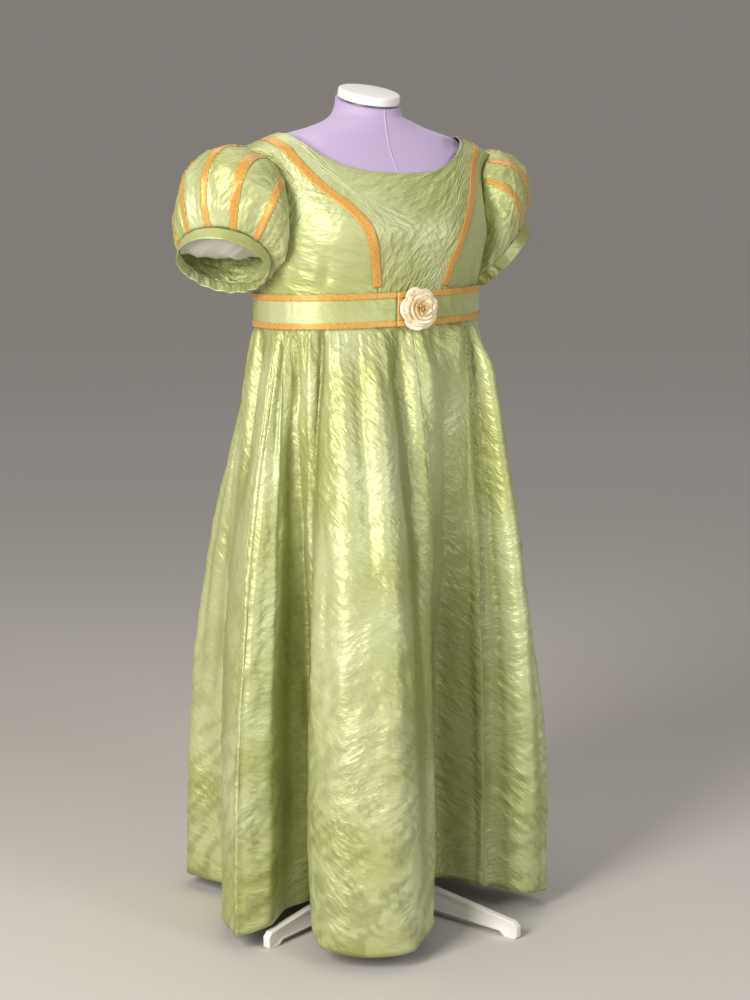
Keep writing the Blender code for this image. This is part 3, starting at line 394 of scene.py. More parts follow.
def outline(angle, z, table=torsoRows):
    halfWidth, front, back = throughTable(table, z)
    depth = np.where(np.sin(angle) < 0, front, back)
    x = halfWidth * signedPower(np.cos(angle), 2 / roundness)
    y = depth * signedPower(np.sin(angle), 2 / roundness)
    return np.stack(np.broadcast_arrays(x, y, z), axis=-1)


def torsoLevel(points):
    halfWidth, front, back = throughTable(torsoRows, points[..., 2])
    depth = np.where(points[..., 1] < 0, front, back)
    return (np.abs(points[..., 0]) / halfWidth) ** roundness + (np.abs(points[..., 1]) / depth) ** roundness


def ontoTorso(points):
    core = np.stack([0.6 * points[..., 0], 0 * points[..., 0], np.minimum(points[..., 2], 1.30)], axis=-1)
    low, high = np.full(points.shape[:-1], 0.1), np.full(points.shape[:-1], 3.0)
    for _ in range(24):
        middle = (low + high) / 2
        inside = torsoLevel(core + (points - core) * middle[..., None]) < 1
        low, high = np.where(inside, middle, low), np.where(inside, high, middle)
    return core + (points - core) * low[..., None]


def torsoNormal(points):
    found = []
    for axis in range(3):
        step = np.zeros(3)
        step[axis] = 0.0002
        found.append(torsoLevel(points + step) - torsoLevel(points - step))
    return unit(np.stack(found, axis=-1))


def bodyDegrees(points):
    halfWidth, front, back = throughTable(torsoRows, points[..., 2])
    depth = np.where(points[..., 1] < 0, front, back)
    across = signedPower(points[..., 0] / halfWidth, roundness / 2)
    return np.degrees(np.arctan2(signedPower(points[..., 1] / depth, roundness / 2), across))


def reliefAt(points):
    degrees, z = bodyDegrees(points), points[..., 2]
    rise = 0
    for middle, height, halfDegrees, halfHeight, out in bodiceRelief:
        off = (degrees - middle + 180) % 360 - 180
        rise = rise + out * np.exp(-((off / halfDegrees) ** 2) - ((z - height) / halfHeight) ** 2)
    return rise * soft((z - beltTop) / 0.025)


# Fine crinkles and drag lines of the bodice, left flat where the belt lies.
def bodiceDetail(points):
    degrees, z = bodyDegrees(points), points[..., 2]
    arc = np.radians(degrees) * 0.20
    bare = soft((z - beltTop - 0.004) / 0.02)
    front = np.exp(-(((degrees + 90) / 30) ** 2))
    rise = 0.0011 * front * (crinkle(arc, z, 24, 0.013, 0.075, 11) - 0.45)
    rise += 0.0008 * (1 - 0.6 * front) * (crinkle(arc, z, -50, 0.018, 0.06, 23) - 0.45)
    rise += 0.0007 * lattice(arc / 0.03, z / 0.11, 31)
    puckers = np.sin(arc / 0.0052 + 2.2 * lattice(arc / 0.02, z / 0.5, 5))
    rise += 0.0007 * puckers * np.exp(-np.abs(z - beltTop - 0.006) / 0.010)
    drag = lattice(arc / 0.011 + z * 14, z / 0.09, 41)
    rise += 0.0026 * drag * np.exp(-(((degrees + 158) / 16) ** 2)) * soft((1.27 - z) / 0.08)
    dart = np.exp(-(((degrees + 137.5 - 14 * (z - 1.15)) / 1.5) ** 2)) * soft((1.215 - z) / 0.05)
    rise -= 0.0032 * dart
    rise += 0.0010 * drag * np.exp(-(((degrees + 34) / 12) ** 2)) * soft((1.25 - z) / 0.08)
    return rise * bare


def dressed(points, out=0.0, detail=True):
    points = ontoTorso(points)
    rise = reliefAt(points) + out
    if detail:
        rise = rise + bodiceDetail(points)
    return points + torsoNormal(points) * rise[..., None]


neck = {"front": 1.329, "back": 1.352, "shoulder": 1.396, "seam": 1.385, "arm": 1.368, "slope": 0.42, "curve": 2.9}
armhole = {"x": 0.215, "z": 1.278, "halfDepth": 0.064, "halfHeight": 0.090, "lap": 0.002}


def along(points):
    steps = np.linalg.norm(np.diff(points, axis=0), axis=1)
    share = np.concatenate([[0], np.cumsum(steps)]) / steps.sum()
    return lambda t: np.stack([np.interp(np.clip(t, 0, 1), share, points[:, k]) for k in range(3)], axis=-1)


def oneAfterOther(first, second, share):
    return lambda t: np.where((np.asarray(t) <= share + 1e-9)[..., None],
                              first(np.asarray(t) / share), second((np.asarray(t) - share) / (1 - share)))


def patchOf(bottom, top, left, right):
    def at(u, v):
        s, t = u[..., None], v[..., None]
        mixed = bottom(u) * (1 - t) + top(u) * t + left(v) * (1 - s) + right(v) * s
        zero, one = np.zeros(1), np.ones(1)
        corners = (bottom(zero) * (1 - s) + bottom(one) * s) * (1 - t) + (top(zero) * (1 - s) + top(one) * s) * t
        return mixed - corners
    return at


steps160 = np.linspace(0, 1, 161)


def atX(x, z, sign):
    halfWidth, front, back = throughTable(torsoRows, z)
    share = np.minimum(x / halfWidth, 1.0)
    depth = front if sign < 0 else back
    return np.stack([share * halfWidth, sign * depth * (1 - share**roundness) ** (1 / roundness), z], axis=-1)


def atY(y, z, out=0.0):
    halfWidth, front, back = throughTable(torsoRows, z)
    share = np.minimum(np.abs(y) / np.where(y < 0, front, back), 1.0)
    return np.stack([halfWidth * (1 - share**roundness) ** (1 / roundness) + out, y, z], axis=-1)


def princessSeam(offset):
    top = neck["seam"] - offset * neck["slope"]
    low = waistZ + seamGap
    z = low + (top - low) * steps160
    miss = throughTable(torsoRows, top)[0] - throughTable(princessRows, top)[0] - offset
    x = throughTable(princessRows, z)[0] + offset + miss * soft(1 - (top - z) / 0.020)
    points = atX(x, z, -1)
    points[:, 1] = np.minimum(points[:, 1], -seamGap)
    return along(points)


def neckEdge(low, sign):
    wide = throughTable(torsoRows, neck["shoulder"])[0]
    points = atX(wide * steps160, low + (neck["shoulder"] - low) * steps160 ** neck["curve"], sign)
    points[:, 1] = sign * np.maximum(np.abs(points[:, 1]), seamGap)
    return along(points)


def shoulderSeam(low, high, sign):
    z = low + (high - low) * steps160
    return along(np.stack([throughTable(torsoRows, z)[0], np.full(161, sign * seamGap), z], axis=-1))


def waistEdge(start, end):
    return along(outline(start + (end - start) * steps160, np.full(161, waistZ + seamGap)))


def sideEdge(sign):
    low, high = waistZ + seamGap, armhole["z"] - armhole["halfHeight"]
    seam = atY(np.full(161, sign * seamGap), low + (high - low) * steps160)
    turn = math.pi * (steps160 - 0.5)
    y = sign * np.maximum(armhole["halfDepth"] * np.cos(turn), seamGap)
    hole = atY(y, armhole["z"] + armhole["halfHeight"] * np.sin(turn))
    return oneAfterOther(along(seam), along(hole), 4 / 12)


def mirrored(points):
    return points * np.array((-1, 1, 1))


def bodyLine(face):
    return (0, 0, face.calc_center_median().z)


# Point inside the body level with a face, for telling which way is out.
def torsoCore(face):
    centre = face.calc_center_median() - bodyAxis
    return (0.6 * centre.x, 0, min(centre.z, 1.30))


def bodicePanel(name, patch, columns, rows, side, nodes, uRange=(0, 1), vRange=(0, 1), below=0.0, material=None,
                wall=clothWall, slotName="green_taffeta", detail=True, shownAt=None):
    u, v = gridOf(columns, rows)
    u = uRange[0] + (uRange[1] - uRange[0]) * u
    plain = patch(u, vRange[0] + (vRange[1] - vRange[0]) * v)
    if shownAt:  # the part that stands past the neck edge
        plain = plain + (0.0085 * np.exp(-(((u - shownAt) / 0.09) ** 2)) * v)[..., None] * np.array((-0.75, 0, 0.65))
    points = dressed(plain, -below, detail)
    points = points * np.array((side, 1, 1))
    piece = sheetMesh(name, points, metresOf(points), torsoCore, wall, material or taffeta)
    settle(piece, slotName, *nodes)
    return piece, areaOf(points)


def makeBodice():
    seamIn, seamOut = princessSeam(-seamGap), princessSeam(seamGap)
    one, zero = np.ones(1), np.zeros(1)
    inTop, outTop = float(seamIn(one)[0, 2]), float(seamOut(one)[0, 2])
    halfTop = oneAfterOther(neckEdge(neck["front"], -1), shoulderSeam(neck["shoulder"], inTop, -1), 1 - 2 / 12)

    def frontTop(u):
        right = halfTop(np.clip(2 * u - 1, 0, 1))
        left = mirrored(halfTop(np.clip(1 - 2 * u, 0, 1)))
        return np.where((u >= 0.5)[..., None], right, left)

    start = seamIn(zero)[0]
    frontBottom = along(np.linspace(mirrored(start), start, 161))
    front = patchOf(frontBottom, frontTop, lambda v: mirrored(seamIn(v)), seamIn)
    made = {"bodiceFront": bodicePanel("bodiceFront", front, 132, 84, 1, ["bodice_front"])}
    foot = float(seamOut(zero)[0, 0] / throughTable(torsoRows, waistZ)[0])
    seamAngle = -math.acos(foot ** (roundness / 2))
    sideFront = patchOf(waistEdge(seamAngle, -0.0008), shoulderSeam(outTop, neck["arm"], -1), seamOut, sideEdge(-1))
    backTop = oneAfterOther(neckEdge(neck["back"], 1), shoulderSeam(neck["shoulder"], neck["arm"], 1), 5 / 8)

    def backTopClear(u):
        points = backTop(u)
        points[..., 0] = np.maximum(points[..., 0], seamGap)
        return points

    z = waistZ + seamGap + (neck["back"] - waistZ - seamGap) * steps160
    centreBack = along(atX(np.full(161, seamGap), z, 1))
    back = patchOf(waistEdge(math.pi / 2 - 0.0008, 0.0008), backTopClear, centreBack, sideEdge(1))
    for letter, side in (("R", -1), ("L", 1)):
        made["bodiceSideFront" + letter] = bodicePanel("bodiceSideFront" + letter, sideFront, 56, 90, side,
                                                       ["bodice_side_front_" + letter])
        made["bodiceBack" + letter] = bodicePanel("bodiceBack" + letter, back, 84, 90, side,
                                                  ["bodice_back_" + letter])
        made["neckFacingBack" + letter] = bodicePanel(
            "neckFacingBack" + letter, back, 40, 12, side, ["neck_facing_back_" + letter], (0, 5 / 8), (10 / 12, 1),
            0.0019, liningCloth, 0.0005, "white_lining", detail=False, shownAt=0.62 if side > 0 else None)
    made["neckFacingFront"] = bodicePanel("neckFacingFront", front, 100, 12, 1, ["neck_facing_front"],
                                          (1 / 12, 11 / 12), (10 / 12, 1), 0.0019, liningCloth, 0.0005,
                                          "white_lining", detail=False, shownAt=0.87)
    for letter, side in (("R", -1), ("L", 1)):
        made["princessRibbon" + letter] = (makePrincessRibbon(letter, side), 0)
    return made


# A ribbon along a line on the body, with slightly puckered edges.
def ribbonStrip(name, lineOf, offset, columns, rows, width, side, slotNodes):
    u, v = gridOf(columns, rows)
    here = lineOf(v)
    tangent = lineOf(np.clip(v + 0.005, 0, 1)) - lineOf(np.clip(v - 0.005, 0, 1))
    base = ontoTorso(here)
    across = unit(np.cross(tangent, torsoNormal(base)))
    ruffle = 1 + 0.04 * lattice(v * 40, u * 0 + 3.5, 61)
    points = dressed(base + across * ((0.5 - u) * width * ruffle)[..., None], offset)
    points = points * np.array((side, 1, 1))
    piece = sheetMesh(name, points, metresOf(points), torsoCore, ribbonWall, satin)
    settle(piece, "gold_ribbon", *slotNodes)
    return piece


def makePrincessRibbon(letter, side):
    seam = princessSeam(0.0)
    t = np.linspace(0, 1, 201)
    start = float(t[np.argmax(seam(t)[:, 2] > 1.136)])
    line = lambda v: seam(start + (0.997 - start) * v)
    return ribbonStrip("princessRibbon" + letter, line, 0.0016, 8, 110, 0.0155, side, ["princess_ribbon_" + letter])


bodiceMade = makeBodice()
print("bodice made", {name: round(area, 4) for name, (piece, area) in bodiceMade.items()})

skirt = {"hemMean": 0.272, "flare": 2.46, "flareBack": 0.04, "flareTurn": math.radians(60), "gathers": 27,
         "rowsUnderBelt": 1 / 11, "sideSeam": -15, "columns": 760, "rows": 160, "length": 1.04}
folds = (  # crest, reach, half, hem, valley, valley reach, valley half, valley hem
    (-120, 0.327, 14, 0.031, -68, 0.166, 13, 0.068), (-34, 0.321, 6, 0.033, -5, 0.226, 4, 0.050),
    (20, 0.330, 7, 0.040, 43, 0.226, 4, 0.052), (64, 0.322, 7, 0.041, 85, 0.226, 4, 0.052),
    (104, 0.312, 5, 0.041, 116, 0.262, 2, 0.048), (130, 0.351, 6, 0.026, 151, 0.246, 4, 0.026),
    (196, 0.333, 3, 0.031, 205, 0.186, 2, 0.055),
)
creases = (  # place at the belt and hem as shares of the width, half width, rise, start, end
    (0.984, 0.981, 0.013, 0.0050, 0.00, 0.80), (0.004, 0.003, 0.007, -0.0070, 0.00, 0.45),
    (0.036, 0.012, 0.012, 0.0060, 0.00, 0.90), (0.061, 0.046, 0.012, -0.0110, 0.00, 1.20),
    (0.090, 0.108, 0.010, 0.0090, 0.00, 0.60), (0.110, 0.127, 0.008, -0.0090, 0.18, 1.20),
    (0.130, 0.142, 0.011, 0.0150, 0.00, 1.30), (0.150, 0.165, 0.010, -0.0150, 0.00, 1.30),
    (0.178, 0.186, 0.010, 0.0090, 0.00, 1.10), (0.205, 0.212, 0.008, -0.0070, 0.00, 0.70),
    (0.262, 0.268, 0.010, -0.0100, 0.00, 0.80), (0.330, 0.336, 0.009, 0.0080, 0.00, 0.60),
    (0.385, 0.378, 0.010, -0.0110, 0.00, 0.90), (0.440, 0.446, 0.011, 0.0090, 0.00, 0.70),
    (0.486, 0.480, 0.009, -0.0100, 0.00, 0.85), (0.545, 0.540, 0.010, 0.0080, 0.00, 0.65),
    (0.600, 0.608, 0.010, -0.0110, 0.00, 0.90), (0.655, 0.660, 0.009, 0.0070, 0.00, 0.60),
    (0.712, 0.706, 0.009, -0.0080, 0.00, 0.85), (0.745, 0.738, 0.010, 0.0060, 0.00, 0.90),
    (0.790, 0.812, 0.009, -0.0130, 0.00, 0.32), (0.848, 0.852, 0.007, -0.0080, 0.00, 0.28),
    (0.880, 0.872, 0.010, 0.0060, 0.00, 0.80), (0.903, 0.905, 0.007, -0.0070, 0.00, 0.16),
    (0.957, 0.922, 0.012, -0.0180, 0.00, 0.70),
)
smallFolds = (  # lesser folds between them, in the same columns
    (0.045, 0.050, 0.016, -0.0060, 0.03, 0.90), (0.076, 0.082, 0.010, 0.0080, 0.05, 0.50),
    (0.108, 0.116, 0.013, 0.0150, 0.02, 0.60), (0.132, 0.142, 0.009, -0.0100, 0.05, 1.00),
    (0.146, 0.154, 0.006, 0.0130, 0.00, 1.40), (0.165, 0.171, 0.006, -0.0120, 0.02, 1.40),
    (0.179, 0.184, 0.007, 0.0090, 0.02, 1.40), (0.194, 0.199, 0.005, -0.0080, 0.10, 1.40),
    (0.893, 0.884, 0.010, -0.0120, 0.20, 1.40), (0.868, 0.861, 0.006, 0.0060, 0.10, 1.30),
    (0.838, 0.840, 0.006, -0.0080, 0.15, 1.30), (0.945, 0.936, 0.008, 0.0070, 0.05, 0.60),
    (0.300, 0.306, 0.006, -0.0090, 0.02, 1.00), (0.355, 0.358, 0.007, 0.0090, 0.00, 1.20),
    (0.415, 0.412, 0.006, -0.0090, 0.05, 0.90), (0.515, 0.511, 0.007, 0.0080, 0.02, 1.10),
    (0.575, 0.580, 0.006, -0.0090, 0.00, 1.00), (0.635, 0.630, 0.007, 0.0080, 0.05, 1.20),
    (0.690, 0.694, 0.006, -0.0080, 0.02, 0.80), (0.765, 0.768, 0.007, 0.0080, 0.05, 1.10),
)
hemStart = folds[0][0]


def hemRows():
    rows = []
    for crest, reach, half, low, valley, valleyReach, valleyHalf, valleyLow in folds:
        rows += [(crest - half, reach * 0.985, low), (crest + half, reach * 0.985, low),
                 (valley - valleyHalf, valleyReach, valleyLow), (valley + valleyHalf, valleyReach, valleyLow)]
    before = [(degrees - 360, reach, low) for degrees, reach, low in rows[-4:]]
    after = [(degrees + 360, reach, low) for degrees, reach, low in rows[:4]]
    return before + rows + after


hemTable = hemRows()


def hemAt(degrees):
    reach, low = throughTable(hemTable, (degrees - hemStart) % 360 + hemStart)
    return np.radians(degrees), reach, low


hemSteps = hemStart + 360 * np.arange(721) / 720
hemAngles, hemReach, _ = hemAt(hemSteps)
hemPoints = np.stack([hemReach * np.cos(hemAngles), hemReach * np.sin(hemAngles)], axis=-1)
hemLengths = np.concatenate([[0], np.cumsum(np.linalg.norm(np.diff(hemPoints, axis=0), axis=1))])


def hemDegrees(share):
    turns = np.floor(share)
    return np.interp((share - turns) * hemLengths[-1], hemLengths, hemSteps) + 360 * turns


def hemShare(degrees):
    turns = math.floor((degrees - hemStart) / 360)
    return turns + float(np.interp(degrees - 360 * turns, hemSteps, hemLengths)) / hemLengths[-1]


def creaseRise(share, drop, rows=creases):
    rise = 0
    for top, hem, half, out, start, end in rows:
        off = (share - top - (hem - top) * drop**0.6 + 0.5) % 1 - 0.5
        begun = soft((drop - start + 0.12) / 0.12)
        lasting = 1 - soft((drop - 0.65 * end) / (0.35 * end))
        rise = rise + out * np.exp(-((off / half) ** 2)) * begun * lasting
    return rise


def skirtSkin(share, fall):
    degrees = hemDegrees(share)
    angle, reach, low = hemAt(degrees)
    even = hemStart + 360 * share
    waistAngle = angle + np.radians(0.22 * (even - degrees))
    top = outline(waistAngle, np.full(share.shape, waistZ))
    foot = beltFoot + beltTilt * top[..., 0] - 0.002
    under = skirt["rowsUnderBelt"]
    hidden = fall < under
    drop = np.where(hidden, 0.0, np.clip((fall - under) / (1 - under), 0, 1) ** 1.35)
    z = np.where(hidden, waistZ - seamGap + (foot - waistZ) * fall / under, foot + (low - foot) * drop)
    spread = skirt["flare"] + skirt["flareBack"] * np.sin(angle - skirt["flareTurn"])
    flare = (1 - (1 - drop) ** spread)[..., None]
    folding = 1 - (1 - drop) ** (spread - 0.3)
    outward = np.stack([np.cos(angle), np.sin(angle), 0 * angle], axis=-1)
    flatTop = top * np.array((1, 1, 0))
    point = top + (outward * skirt["hemMean"] - flatTop) * flare
    point = point + outward * ((reach - skirt["hemMean"]) * folding)[..., None]
    wave = tau * skirt["gathers"] * share
    gather = np.sin(wave + 1.2 * np.sin(5 * waistAngle)) + 0.4 * np.sin(2 * wave + 3 * waistAngle)
    gather = gather * 0.0032 * np.exp(-drop / 0.10)
    point = point + outward * ((gather + creaseRise(share, drop)) * (1 - np.exp(-drop / 0.02)))[..., None]
    point[..., 2] = z
    return point, drop


# Puckers under the belt, soft streaks, diagonal crush creases and the hem facing's edge.
def skirtDetail(share, drop):
    x, y = share * hemLengths[-1], drop * skirt["length"]
    hang = soft((drop - 0.015) / 0.08)
    pucker = lattice(share * 150, drop * 3.0, 3) + 0.6 * lattice(share * 300, drop * 6.0, 13)
    rise = 0.0026 * pucker * np.exp(-drop / 0.055) * soft(drop / 0.012) + 0.45 * creaseRise(share, drop) * hang
    rise += 0.0040 * lattice(x / 0.045 + 0.5 * lattice(x / 0.2, y / 0.12, 17), y / 0.30, 19) * hang
    rise += 0.0016 * lattice(x / 0.022 + 0.8 * lattice(x / 0.06, y / 0.08, 29), y / 0.085, 37) * hang
    where = soft(0.5 + 1.1 * lattice(x / 0.17, y / 0.22, 43))
    strength = 0.35 + 0.65 * soft(drop / 0.55)
    rise += 0.0023 * strength * hang * where * (crinkle(x, -y, 42, 0.026, 0.10, 47) - 0.4)
    rise += 0.0023 * strength * hang * (1 - where) * (crinkle(x, -y, -24, 0.024, 0.11, 53) - 0.4)
    rise += 0.0012 * strength * hang * (crinkle(x, -y, 12, 0.017, 0.07, 59) - 0.4)
    facing = skirt["length"] * (1 - drop) - 0.047
    rise += 0.0010 * np.exp(-((facing / 0.004) ** 2)) - 0.0007 * np.exp(-(((facing + 0.006) / 0.004) ** 2))
    return rise


# How much painted shade darkens a place in a fold's trough, from 0 to 0.8.
def paintedFoldShade(share, drop):
    degrees = hemDegrees(share)
    reach = hemAt(degrees)[1]
    lesser = soft((-0.0025 - creaseRise(share, drop) - creaseRise(share, drop, smallFolds)) / 0.013)
    deep = soft((0.265 - reach) / 0.085) * soft((drop - 0.10) / 0.45)
    x, y = share * hemLengths[-1], drop * skirt["length"]
    strokes = soft((0.44 - crinkle(x, -y, 34, 0.013, 0.055, 61)) / 0.16) * soft((drop - 0.25) / 0.7)
    return 0.8 * np.maximum(np.maximum(0.75 * lesser, deep), 0.5 * strokes)


def makeSkirt():
    left, right = hemShare(skirt["sideSeam"]), hemShare(-180 - skirt["sideSeam"])
    front, back = hemShare(-90), hemShare(90)
    under = skirt["rowsUnderBelt"]
    seam = 0.00002  # share of the width on each side of a seam
    made = {}
    gores = (("FrontR", "skirt_front_R", right, front), ("FrontL", "skirt_front_L", front, left),
             ("BackL", "skirt_back_L", left, back), ("BackR", "skirt_back_R", back, right + 1))
    for letters, node, start, end in gores:
        columns = round(skirt["columns"] * (end - start))
        u, v = gridOf(columns, skirt["rows"])
        v = np.where(v < 0.03, v / 0.03 * under, under + (v - 0.03) / 0.97 * (1 - under))
        share = start + seam + (end - start - 2 * seam) * u
        plain, drop = skirtSkin(share, v)
        sideStep, downStep = 0.0009, 0.004  # steps that both sides of a seam share, so that it stays shut
        across = skirtSkin(share + sideStep, v)[0] - skirtSkin(share - sideStep, v)[0]
        fallen = skirtSkin(share, np.minimum(v + downStep, 1))[0] - skirtSkin(share, np.maximum(v - downStep, 0))[0]
        facing = unit(np.cross(across, fallen))
        facing *= np.sign((facing * plain * np.array((1, 1, 0))).sum(axis=-1))[..., None]
        closing = soft((share - right - 0.96) / 0.04)  # so that the detail meets itself after a full turn
        detail = skirtDetail(share, drop) * (1 - closing) + skirtDetail(share - 1, drop) * closing
        small = creaseRise(share, drop, smallFolds) * soft((drop - 0.015) / 0.08)
        plain = plain + facing * small[..., None]
        points = plain + facing * detail[..., None]
        # The skirt gores carry painted shade in the troughs of their folds.
        piece = sheetMesh("skirt" + letters, points, metresOf(plain), bodyLine, clothWall, taffeta,
                          foldShadeAmount=paintedFoldShade(share, drop) * (1 - closing) + paintedFoldShade(share - 1, drop) * closing)
        settle(piece, "green_taffeta", node)
        width = float(np.linalg.norm(np.diff(plain[-1], axis=0), axis=-1).sum())
        made[letters] = (piece, width, areaOf(plain))
        print("skirt", letters, "hem", round(width, 3), "area", round(areaOf(plain), 3), "creased",
              round(areaOf(points), 3))
    return made


skirtMade = makeSkirt()
print("skirt made")

belt = {"inner": math.radians(-76), "outer": math.radians(-98), "ribbon": 0.010, "wall": 0.0020, "clear": 0.0020,
        "lapLayer": 0.0020 + 0.0010 + 3 * 0.0006}


def beltPlace(angle, z, out):
    rise = belt["lapLayer"] * soft((belt["inner"] - angle - tau + 0.45) / 0.40)
    off = belt["clear"] + belt["wall"] + rise + out

    def level(height):
        height = np.full(np.shape(angle), height)
        here = outline(angle, height)
        turn = outline(angle + 0.004, height) - outline(angle - 0.004, height)
        climb = outline(angle, height + 0.0008) - outline(angle, height - 0.0008)
        return here + unit(np.cross(turn, climb)) * off[..., None]

    share = ((z - beltFoot) / beltHeight)[..., None]
    points = level(beltFoot) * (1 - share) + level(beltTop) * share
    points[..., 2] = z + beltTilt * points[..., 0]
    return points


def makeBelt():
    span = belt["outer"] - tau - belt["inner"]
    over = 0.0016

    def strip(name, low, high, outBy, wall, material, slotName, node, start=0.0, end=1.0, columns=420, rows=12):
        u, v = gridOf(columns, rows)
        angle = belt["inner"] + span * (start + (end - start) * u)
        z = low + (high - low) * v
        arc = -angle * 0.2
        ripple = 0.00045 * lattice(arc / 0.016, z / 0.05, 71) + 0.0003 * lattice(arc / 0.006, z / 0.03, 73)
        if material is satin:
            ripple = ripple * 0.8 + 0.00018 * lattice(arc / 0.004, z / 0.02, 79)
        points = beltPlace(angle, z, outBy + ripple)
        piece = sheetMesh(name, points, metresOf(points), bodyLine, wall, material)
        settle(piece, slotName, node)
        return piece, areaOf(points)

    made = {"belt": strip("beltBand", beltFoot, beltTop, 0, 0.0014, pressedTaffeta, "green_taffeta", "belt")}
    edge, gap = belt["ribbon"], 0.0003
    for place, low, high, start, columns, rows in (
            ("Top", beltTop - edge, beltTop, 0.0, 420, 6), ("Bottom", beltFoot, beltFoot + edge, 0.0, 420, 6),
            ("End", beltFoot + edge + gap, beltTop - edge - gap, 1 - edge / 1.18, 8, 24)):
        made[place] = strip("beltRibbon" + place, low, high, over, ribbonWall, satin, "gold_ribbon",
                            "belt_ribbon_" + place.lower(), start, 1.0, columns, rows)
    return made


beltMade = makeBelt()
print("belt made", round(beltMade["belt"][1], 4))

sleeveRows = (
    {"letter": "R", "side": -1, "cuff": (0.284, -0.006, 1.190), "axis": (0.44, -0.43, -0.79), "radius": 0.0790,
     "top": 0.059, "sides": 0.036, "twist": 0.16},
    {"letter": "L", "side": 1, "cuff": (0.268, 0.000, 1.192), "axis": (0.68, -0.25, -0.66), "radius": 0.0740,
     "top": 0.050, "sides": 0.034, "twist": 0.0},
)
sleeveGrid = {"columns": 36, "rows": 7, "gathers": 18, "ribbons": (2, 5, 8, 11, 14), "cuffWidth": 0.022, "wall": 0.0018}


# One sleeve's surfaces, worked out on the wearer's left and mirrored by its side.
class Sleeve:
    def __init__(self, row):
        self.row = row
        self.flip = np.array((row["side"], 1, 1))
        self.centre = np.array(row["cuff"])
        self.axis = unit(np.array(row["axis"]))
        self.middle = (np.array((armhole["x"], 0, armhole["z"])) + self.centre) / 2
        up = np.array((0, 0, 1)) - self.axis * self.axis[2]
        self.up = unit(up)
        front = np.cross(self.axis, self.up)
        self.front = unit(-front if front[1] > 0 else front)

    def ring(self, turn, radius, reach=0.0):
        radius, reach = np.broadcast_to(radius, turn.shape)[..., None], np.broadcast_to(reach, turn.shape)[..., None]
        spoke = self.front * np.cos(turn)[..., None] + self.up * np.sin(turn)[..., None]
        return self.centre + spoke * radius + self.axis * reach

    def skin(self, turn, fall):
        row = self.row
        t = np.clip(fall, 0, 1)
        y = -(armhole["halfDepth"] + armhole["lap"]) * np.cos(turn)
        start = atY(y, armhole["z"] + (armhole["halfHeight"] + armhole["lap"]) * np.sin(turn), 0.0012)
        end = self.ring(turn + row["twist"], row["radius"])
        rise = np.sin(turn)
        away = unit((start + end) / 2 - self.middle)
        away[..., 0] += 0.45 + 0.30 * np.minimum(rise, 0)
        away = unit(away)
        sides = row["sides"]
        bulge = sides + np.where(rise > 0, row["top"] - sides, sides * 0.72) * rise
        arch = np.clip(np.sin(math.pi * t), 0, 1)
        gathers = 0.0042 * np.sin(sleeveGrid["gathers"] * turn + 1.1 * np.sin(3 * turn))
        gathers = gathers * arch**0.4 * (np.exp(-t / 0.16) + np.exp(-(1 - t) / 0.24))
        seed = 100 + 10 * (row["side"] > 0)
        fromSeam = (turn + math.pi / 2) % tau  # the sleeve's seam runs under the arm
        x, d = fromSeam * 0.11, t * 0.17
        inside = soft(t / 0.06) * soft((1 - t) / 0.06)
        fine = 0.0016 * np.sin(3 * sleeveGrid["gathers"] * turn + 2.3 * lattice(fromSeam * 3, t * 2, seed))
        fine = fine * (np.exp(-t / 0.12) + np.exp(-(1 - t) / 0.16))
        crush = 0.0026 * (crinkle(x, d, 62, 0.020, 0.06, seed + 1) - 0.4)
        crush = crush + 0.0026 * lattice(x / 0.030, d / 0.045, seed + 2)
        crush = crush + 0.0018 * (crinkle(x, d, -30, 0.017, 0.05, seed + 3) - 0.4)
        closing = soft(np.minimum(fromSeam, tau - fromSeam) / 0.25)
        return start * (1 - t)[..., None] + end * t[..., None] + away * (
            bulge * arch**0.75 + gathers + (fine + crush) * closing * inside)[..., None]

    def placed(self, u, v, out):
        turn = tau * u
        here = self.skin(turn, v)
        across = self.skin(turn + 0.01, v) - self.skin(turn - 0.01, v)
        down = self.skin(turn, v + 0.004) - self.skin(turn, v - 0.004)
        facing = unit(np.cross(across, down))
        facing *= np.sign((facing * (here - self.middle)).sum(axis=-1))[..., None]
        return (here + facing * np.broadcast_to(out, turn.shape)[..., None]) * self.flip

    def core(self, face):
        return tuple(self.middle * self.flip)

    def cuffCore(self, face):
        middle = self.centre * self.flip
        axis = self.axis * self.flip
        centre = np.array(face.calc_center_median() - bodyAxis)
        return tuple(middle + axis * float((centre - middle) @ axis))


